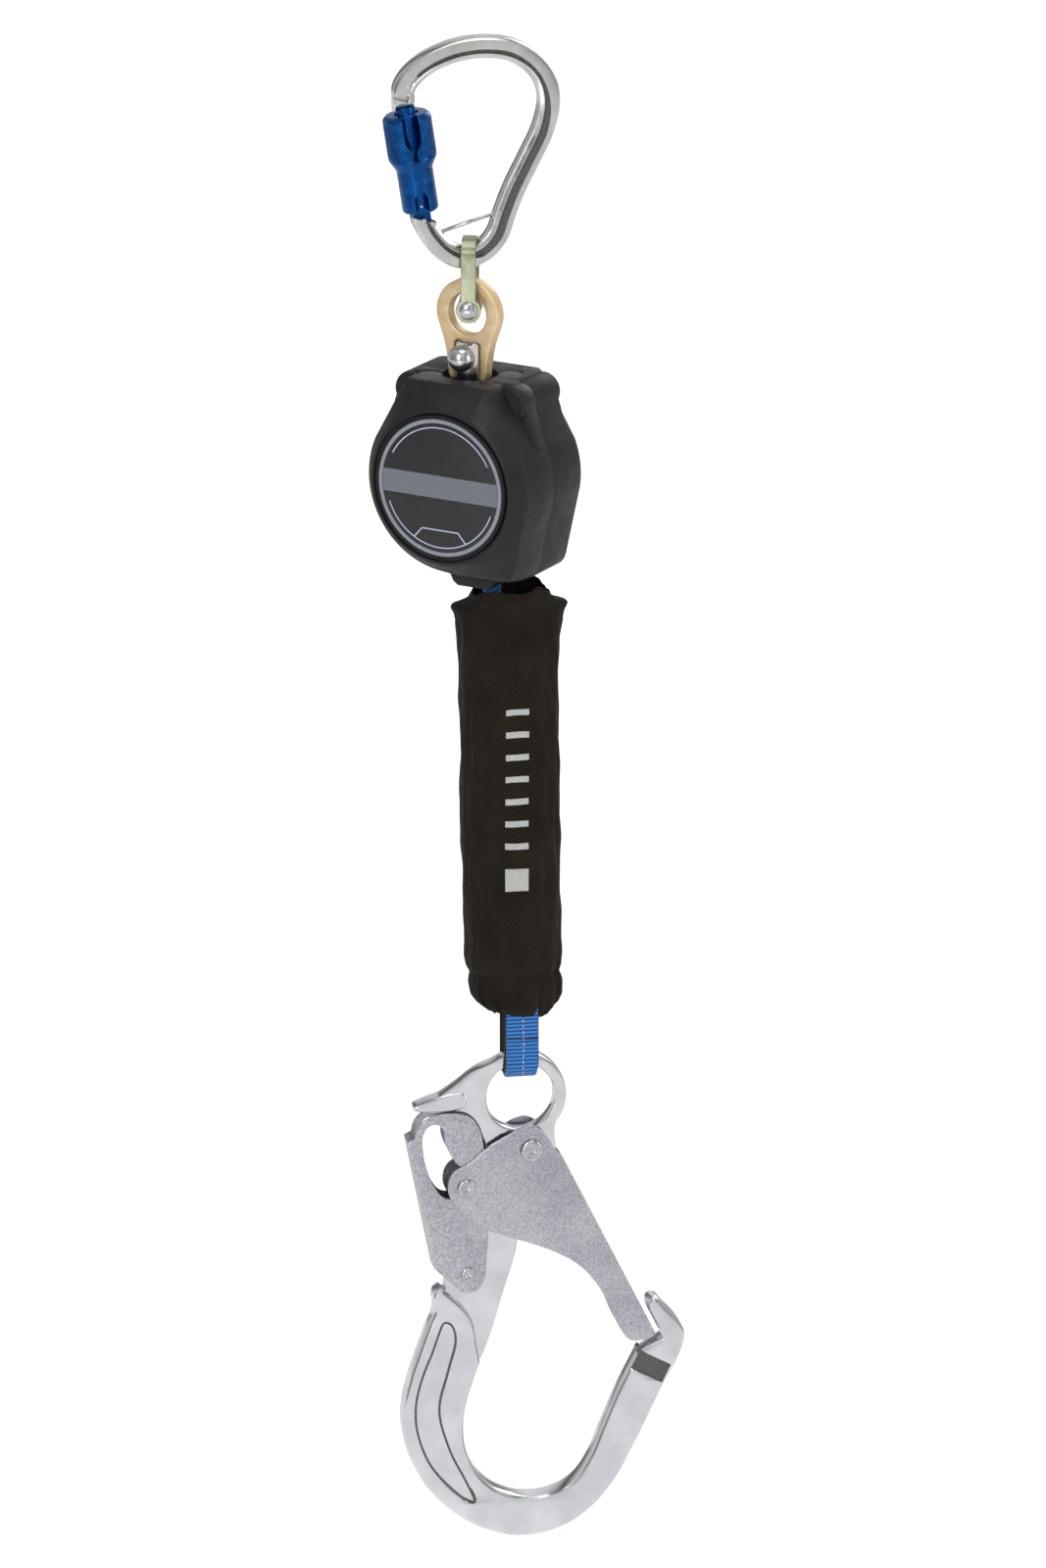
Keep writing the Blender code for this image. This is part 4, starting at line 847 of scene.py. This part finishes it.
# The cover's section by height: (z, half width, half depth, middle x, middle y)
PACK = [(-509, 17.6, 11, 17.6, 0), (-505.5, 21, 13, 17.2, 0), (-500, 23.6, 13.9, 16.6, -0.1),
        (-493, 24.3, 14.2, 15.9, -0.3), (-487.5, 24, 14, 15.5, -0.5), (-478, 25.6, 14.9, 15, -0.8),
        (-440, 26.4, 15.3, 13.6, -1.6), (-380, 26.2, 15.4, 12.6, -2.8), (-335, 26.3, 15.4, 12, -3.8),
        (-308, 27, 15.6, 11.6, -4.6), (-297, 28.2, 15.2, 11.4, -5), (-292, 28.4, 14.2, 11.4, -5),
        (-289, 27.2, 13.6, 11.5, -5.8), (-286, 22.8, 13.6, 11.8, -7), (-280.5, 20.6, 13.6, 12, -7.4)]


PACK_LOW, PACK_TOP = PACK[0][0], PACK[-1][0]


def pack_at(z):
    for low, high in zip(PACK, PACK[1:]):
        if z <= high[0] or high is PACK[-1]:
            t = min(max((z - low[0]) / (high[0] - low[0]), 0), 1)
            return [a + (b - a) * t for a, b in zip(low[1:], high[1:])]


def pack_point(angle, z):
    """The cover's outer surface at an angle round it (0 is +X) and a height."""
    half_w, half_d, x0, y0 = pack_at(z)
    c, s = math.cos(angle), math.sin(angle)
    gather = 1 - smooth_step(z, -489, -470)
    frill = 1 - smooth_step(z, -499, -489)
    pleats = math.sin(13 * angle + 1.1 * math.sin(3 * angle)) + 0.5 * math.sin(29 * angle + 0.8)
    soft = noise.noise(Vector((3 * c, 3 * s, z / 26))) * 1.5
    swirl = 4 * angle / 6.28 * math.sin(angle)
    folds = noise.noise(Vector((5 * c + 0.02 * z, 5 * s, z / 11.0 + swirl))) * 0.65
    sag = math.sin(z / 15.0 + 2.2 * c) * 0.35
    pinch = -1.0 * math.exp(-((z + 487.5) / 2.2) ** 2)
    seam = -0.5 * math.exp(-((z + 297.5) / 0.7) ** 2) if z > -310 else 0.0
    push = soft + folds + sag + pinch + seam + pleats * (0.42 * gather + 0.55 * frill)
    square = 0.80  # between 1, an ellipse, and 0, a box
    x = x0 + (half_w + push * 0.8 - 0.9) * math.copysign(abs(c) ** square, c)
    y = y0 + (half_d + push - 0.9) * math.copysign(abs(s) ** square, s)
    rim = smooth_step(z, -291, -281)
    ear = math.exp(-((z + 290.6) / 2.6) ** 2) * abs(c) ** 10
    x += 2.6 * ear * math.copysign(1, c)
    peaks = (1.9 * math.exp(-((c - 0.62) / 0.20) ** 2) + 0.9 * math.exp(-((c + 0.45) / 0.25) ** 2)
             - 2.2 * math.exp(-((abs(c) - 1) / 0.16) ** 2) - 0.8 * math.exp(-((c - 0.15) / 0.14) ** 2))
    rise = rim * (peaks + 0.8 * max(s, 0)) + 1.2 * ear
    bottom = frill * (1.8 * math.sin(2 * angle + 0.7) + 0.9 * pleats) * (1 - smooth_step(z, PACK_LOW, -500))
    return Vector((x, y, z + rise + bottom))


def pack():
    """The cover: an open tube of cloth with a wall, shaped by pack_point."""
    around, perimeter, wall = 176, 2 * math.pi * 21.6, 0.9
    heights, z = [], PACK_LOW
    while z < PACK_TOP:
        heights.append(z)
        z += 0.8 if z < -480 or z > -312 else 1.6
    heights.append(PACK_TOP)
    rows = [[pack_point(2 * math.pi * k / around, z) for k in range(around)] for z in heights]
    bm = bmesh.new()
    grid(bm, rows, caps=False, uvs=lambda i, j: (j / around * perimeter, heights[i]))
    cover = raw("pack_sleeve", bm, CLOTH)
    shaded(cover, 180)
    shell = cover.modifiers.new("Wall", "SOLIDIFY")
    shell.thickness = wall * MM
    shell.offset = -1
    applied(cover)
    cover.data.shade_smooth()
    placed(cover, "lifeline", "black_cloth", "pack_cover")


def front_of_pack(x, z):
    """The front surface's y at x and z."""
    low, high = math.pi * 1.02, math.pi * 1.98
    for _ in range(24):
        middle = (low + high) / 2
        if pack_point(middle, z).x < x:
            low = middle
        else:
            high = middle
    return pack_point((low + high) / 2, z).y


def pack_print():
    """Plain marks down the cover: seven bars and a square, following the cloth."""
    bm = bmesh.new()
    centre, half, step = 14, 6, 0.8

    def patch(z_low, z_high):
        columns, levels = max(2, round(2 * half / step)), max(2, round((z_high - z_low) / step))
        xs = [centre - half + 2 * half * i / columns for i in range(columns + 1)]
        zs = [z_low + (z_high - z_low) * k / levels for k in range(levels + 1)]
        outer, inner = ([[bm.verts.new(Vector((x, front_of_pack(x, z) - lift, z)) * MM) for x in xs] for z in zs]
                        for lift in (0.28, -0.2))
        for side in (outer, inner):
            for k in range(levels):
                for i in range(columns):
                    bm.faces.new((side[k][i], side[k][i + 1], side[k + 1][i + 1], side[k + 1][i]))
        rim = ([(0, i) for i in range(columns)] + [(k, columns) for k in range(levels)]
               + [(levels, i) for i in range(columns, 0, -1)] + [(k, 0) for k in range(levels, 0, -1)])
        for (a, b), (c, d) in zip(rim, rim[1:] + rim[:1]):
            bm.faces.new((outer[a][b], outer[c][d], inner[c][d], inner[a][b]))

    for number in range(7):
        patch(-345.6 - number * 12, -342.4 - number * 12)
    patch(-440, -428)
    piece("plain_marks", bm, PRINT, "lifeline", "black_cloth", (), 60)


# Rebar hook --------------------------------------------------------------------------------------------

RING = (18, -555)
GATE_PIVOT, TAIL_PIN, LEVER_PIVOT = (23.1, -583), (-11.1, -601.7), (-10, -649.4)


def hook():
    """The bowl with its recesses, joined to the flat shank and the finger tab. "c" marks a sharp corner."""
    bowl = [(-24, -656.6, "c"), (-27.5, -660), (-27.2, -669), (-30.4, -677.5), (-35.4, -691.5), (-40.4, -706.5),
            (-43.7, -723), (-42.6, -740), (-36.6, -757.5), (-25.9, -773), (-12.2, -785), (3.5, -793),
            (20, -796.2), (38, -793), (53.5, -784), (66.2, -769.8), (76, -752.5), (91, -721),
            (103, -696.6), (104.2, -689.6), (102.4, -684.4), (93, -672.8), (88.6, -668.6), (84.9, -670.2),
            (84.8, -675.2, "c"),
            (92.6, -691, "c"), (79.2, -699.2, "c"), (69.9, -717.6), (61.6, -737.4), (54, -755.4), (46, -766.8),
            (34.5, -772.9), (22.5, -774.2), (10.5, -771.6), (-1.5, -763.2), (-9.6, -750.2), (-12.2, -736.5),
            (-10.7, -722), (-6.9, -709), (-3.4, -698.6, "c"), (-5.2, -689), (-8, -674.6), (-13.6, -665.6, "c")]
    half, recess, band_depth = 7, 5.7, 5.8
    body = raw("hook_forging", sheet_metal([bowl], -half, half, 2.3), ALLOY)
    crescent = [(-22.5, -675.5), (-18.2, -677.6), (-16.6, -687), (-20.8, -703.5), (-25.2, -724), (-19.6, -746),
                (-11.5, -763), (-6.6, -775.5), (-16, -770), (-29.5, -754), (-36.4, -736), (-37.4, -720),
                (-34, -705), (-28.6, -691), (-25, -680.5)]
    nose_band = [(80.6, -697), (96.6, -705.7), (92.2, -715.5), (75.8, -706.8)]
    cut(body, sheet_metal([crescent], -9, -recess), sheet_metal([crescent], recess, 9),
        sheet_metal([nose_band], -9, -band_depth, smooth=False),
        sheet_metal([nose_band], band_depth, 9, smooth=False))
    soften(body, 0.7, 2, 34, 30)
    outline = ([(-36.4, -559.2, "c"), (-24, -552.4), (-14.5, -546.2), (-5.2, -539.3)] + arc(*RING, 24, 122, -38, 21)
               + [(35.9, -576.5), (36.4, -584), (31.2, -597), (25, -611), (19.6, -624), (16.6, -633.2),
                  (14.9, -642), (9, -661.4), (3.1, -681.6), (-2.6, -697.5, "c"), (-15, -690, "c"), (-22, -664, "c"),
                  (-21, -651), (-17, -640), (-7, -618), (-1.8, -600), (0.4, -584.3), (-2.4, -574.7),
                  (-5.2, -568.6), (-9, -564.7), (-17, -561.6), (-34, -561, "c")])
    holes = [circle(*RING, 17.8, 40), circle(*GATE_PIVOT, 3.4, 16), circle(*LEVER_PIVOT, 3, 16)]
    tab = [(-37.6, -557.8, "c"), (-35.6, -556.6), (-13.5, -551), (-10.2, -552.4), (-9.6, -556.4), (-12, -559.4),
           (-34.5, -560.4), (-37.6, -559.6, "c")]
    join(body, sheet_metal([outline] + holes, -4.6, 4.6, 1.1), sheet_metal([tab], -5.5, 5.5, 1.6, rounds=4))
    shaded(body, 28)
    placed(body, "hook", "polished_alloy", "hook_body")
    for side, ends in (("front", (-5.95, -4.8)), ("back", (4.8, 5.95))):
        # a dark raised line round each crescent recess: painted shade along its edge
        bead("crescent_shade_bead_" + side, crescent, -half if side == "front" else half, 0.6)
        # a dark plate on each nose recess's floor: painted shade in the recess
        piece("nose_band_shade_" + side, sheet_metal([nose_band], *ends, smooth=False), GROOVE_SHADE, "hook", "polished_alloy")


def bead(name, loop, y, radius):
    """A raised line round a closed loop, half sunk in the face at y. Its dark colour is painted shade along the
    loop's edge.
    """
    per_span = 6
    path = spline_path([loop[-1]] + loop + loop[:2], per_span)[per_span:-per_span]
    rows = []
    for i, here in enumerate(path[:-1]):
        along = (path[i + 1] - path[i - 1 if i else -2]).normalized()
        rows.append([(here.x - along.y * radius * math.cos(a), y + 0.55 * radius * math.sin(a),
                      here.y + along.x * radius * math.cos(a)) for a in (2 * math.pi * k / 10 for k in range(10))])
    bm = bmesh.new()
    grid(bm, rows, closed_v=True)
    piece(name, bm, GROOVE_SHADE, "hook", "polished_alloy", (), 60)


def folded(name, outline, holes, hollow, inner, outer, body, replaced, edge=0.7):
    """A sheet-metal U round the shank: two flat sides and a spine."""
    sheet = raw(name, sheet_metal([outline] + holes, -outer, outer, edge, rounds=3), ZINC)
    cut(sheet, sheet_metal([hollow], -inner, inner, smooth=False))
    shaded(sheet, 28)
    placed(sheet, body, "plated_steel", replaced)


def gate_and_lever():
    outline = [(-20.8, -600.4), (-18.2, -593.4), (-9.4, -588.2), (-1.6, -581.6), (8.8, -575.3), (17.6, -570.6),
               (23.5, -570), (29.6, -574.2), (34.6, -582), (41, -591, "c"), (88.4, -687.6, "c"), (85.6, -689.6),
               (79.6, -691), (74.6, -690.2), (71, -686.2), (61.1, -665), (55, -655.4), (47.6, -647.4),
               (38.6, -641.4), (29.6, -637), (8.8, -628.9), (-5, -622.9), (-13.4, -615.2), (-19.8, -606)]
    hollow = [(-60, -560), (60, -560), (60, -590.4), (39.4, -590.4), (86.2, -686), (86.2, -720), (-60, -720)]
    folded("gate_shell", outline, [circle(*GATE_PIVOT, 3.3, 24), circle(*TAIL_PIN, 2.9, 24)], hollow, 7.5, 9,
           "hook_gate", "hook_gate")
    outline = [(-41.3, -575.7, "c"), (-37.6, -574, "c"), (-36.2, -568.8), (-32.6, -564.6), (-24.6, -561.8),
               (-15.2, -561.8), (-9, -564), (-4.6, -569.2), (-2.2, -577), (-0.8, -590), (0.6, -626),
               (-0.2, -641), (-2.2, -654.6), (-6.2, -659.2), (-11.6, -659.6), (-17.4, -655), (-27.6, -645.6, "c")]
    window = [(-28, -567), (-23.2, -569.4), (-21.8, -577), (-18.6, -584.6), (-13, -592.6), (-8, -600),
              (-8.6, -604.6), (-13.4, -606.4), (-21.6, -607.2), (-27, -601.4), (-31, -592), (-33.2, -581),
              (-32.6, -571)]
    hollow = [(-39.6, -576.5), (-26.2, -645), (-26.2, -700), (60, -700), (60, -540), (-60, -540), (-60, -574.4),
              (-39.2, -574.4)]
    folded("lever_shell", outline, [window, circle(*LEVER_PIVOT, 2.9, 24)], hollow, 5.9, 7.2, "lock_lever",
           "lock_lever", 0.5)
    rivet_head("gate_rivet_head", *GATE_PIVOT, 5.8, 11.1, "hook", "gate_rivet")
    rivet_head("tail_pin_head", *TAIL_PIN, 4.8, 10.7, "hook_gate", "gate_tail_pin")
    rivet_head("lever_rivet_head", *LEVER_PIVOT, 3.9, 8.6, "hook", "lever_rivet", centre=0.42)


# Stage -------------------------------------------------------------------------------------------------

FLOOR_Z, FLOOR_HALF = -2.6, 12  # metres; below the hook with all the webbing pulled out

# Each area light in metres and watts: (name, place, aim, size, power)
LIGHTS = [("key", (-1.3, -1.9, 0.9), (0, 0, -0.35), (1, 1.6), 16),
          ("fill", (1.9, -1.4, 0.1), (0, 0, -0.4), (0.9, 1.6), 8),
          ("top", (0.1, -0.2, 1.6), (0, 0, -0.3), (1.4, 1.4), 9),
          ("rim", (1.1, 1.6, 0.5), (0, 0, -0.4), (0.8, 1.4), 8),
          ("low", (-0.8, -1.7, -0.7), (0, 0, -0.5), (0.9, 0.5), 2.5)]

SEEN_BY_CAMERA, WORLD_STRENGTH = 1.35, 0.75
# Brightness of the world from -X to +X, for soft bands in the metal: (place, shade)
BANDS = [(0, 0.30), (0.22, 0.85), (0.36, 0.07), (0.48, 0.90), (0.60, 1), (0.72, 0.12), (0.86, 1), (1, 0.5)]


def floor():
    """A pale floor, which glows more for the camera than for the metal, so that the picture's ground is white."""
    mesh = bpy.data.meshes.new("floor")
    corners = [(x * FLOOR_HALF, y * FLOOR_HALF, FLOOR_Z) for x, y in ((-1, -1), (1, -1), (1, 1), (-1, 1))]
    mesh.from_pydata(corners, [], [(0, 1, 2, 3)])
    ground = linked("floor", mesh)
    pale = Finish("pale_floor", (0.78, 0.78, 0.78), 0.9, Emission_Color=(1, 1, 1, 1))
    seen = pale.node("LightPath").outputs["Is Camera Ray"]
    pale.link(pale.maths("ADD", pale.maths("MULTIPLY", seen, 0.50), 0.38), pale.shader.inputs["Emission Strength"])
    mesh.materials.append(pale.mat)


def lights():
    for name, at, aim, size, power in LIGHTS:
        light = bpy.data.lights.new(name, "AREA")
        light.shape = "RECTANGLE"
        light.size, light.size_y = size
        light.energy = power
        lamp = linked(name, light)
        lamp.location = at
        lamp.rotation_euler = (Vector(aim) - Vector(at)).to_track_quat("-Z", "Y").to_euler()


def world():
    """A white background for the camera, and soft bands for everything that reflects."""
    studio = bpy.data.worlds.new("studio")
    scene.world = studio
    studio.use_nodes = True
    nodes_of, link = studio.node_tree.nodes, studio.node_tree.links.new
    split = nodes_of.new("ShaderNodeSeparateXYZ")
    link(nodes_of.new("ShaderNodeTexCoord").outputs["Generated"], split.inputs[0])
    scale = nodes_of.new("ShaderNodeMapRange")
    scale.inputs["From Min"].default_value = -1
    link(split.outputs["X"], scale.inputs["Value"])
    ramp = nodes_of.new("ShaderNodeValToRGB")
    stops = ramp.color_ramp.elements
    while len(stops) < len(BANDS):
        stops.new(0.5)
    for stop, (place, shade) in zip(stops, BANDS):
        stop.position = place
        stop.color = (shade, shade, shade, 1)
    link(scale.outputs["Result"], ramp.inputs["Fac"])
    mix = nodes_of.new("ShaderNodeMix")
    mix.data_type = "RGBA"
    mix.inputs[7].default_value = (SEEN_BY_CAMERA, SEEN_BY_CAMERA, SEEN_BY_CAMERA, 1)
    link(nodes_of.new("ShaderNodeLightPath").outputs["Is Camera Ray"], mix.inputs["Factor"])
    link(ramp.outputs["Color"], mix.inputs[6])
    background = nodes_of["Background"]
    link(mix.outputs[2], background.inputs["Color"])
    background.inputs["Strength"].default_value = WORLD_STRENGTH


def camera():
    """A long lens at the photograph's angle: a little above the object and to its left."""
    scene.view_settings.view_transform = "Standard"
    scene.view_settings.look = "None"
    lens = bpy.data.cameras.new("camera")
    lens.lens, lens.sensor_width, lens.clip_end = 270, 36, 100
    holder = linked("camera", lens)
    azimuth, elevation, distance = math.radians(-10), math.radians(17.5), 6.0
    middle = Vector((0.020, 0, -0.388))
    level = math.cos(elevation)
    back = Vector((math.sin(azimuth) * level, -math.cos(azimuth) * level, math.sin(elevation)))
    holder.location = middle + back * distance
    holder.rotation_euler = back.to_track_quat("Z", "Y").to_euler()
    scene.camera = holder


CAD_FINISH = {
    PIN: ("captive_pin", "gate_hinge_pin", "shackle_rivet", "shackle_bush", "swivel_nut", "swivel_washer",
          *(f"cover_screw_{number}" for number in range(1, 5)), "web_guide_pin_left", "web_guide_pin_right",
          "frame_spacer", "shaft_bush_front", "shaft_bush_rear", "drum_shaft", "pawl_pin_a", "pawl_pin_b",
          "lever_spring"),
    ZINC: ("load_frame", "ratchet_ring", "power_spring", "pawl_a", "pawl_b"),
    ALLOY_DULL: ("drum_hub", "drum_flange_front", "drum_flange_rear", "pawl_rotor"),
    BLACK: ("spring_case",),
    WEB: ("wound_webbing", "tear_web_pack"),
}


def dress_frame():
    """Finishes for the CAD nodes that stay in view or show through gaps."""
    for finish, names in CAD_FINISH.items():
        for name in names:
            node = nodes[name]
            node.data.materials.clear()
            node.data.materials.append(finish.mat)
            weld = node.modifiers.new("Weld", "WELD")
            weld.merge_threshold = 0.000002
            shaded(node, 32)


carabiner()
sleeve()
strap()
swivel_eye()
half_shell(front=True)
half_shell(front=False)
label_cap()
label()
nozzle()
lifeline()
end_loop()
pack()
pack_print()
hook()
gate_and_lever()
dress_frame()
floor()
lights()
world()
camera()
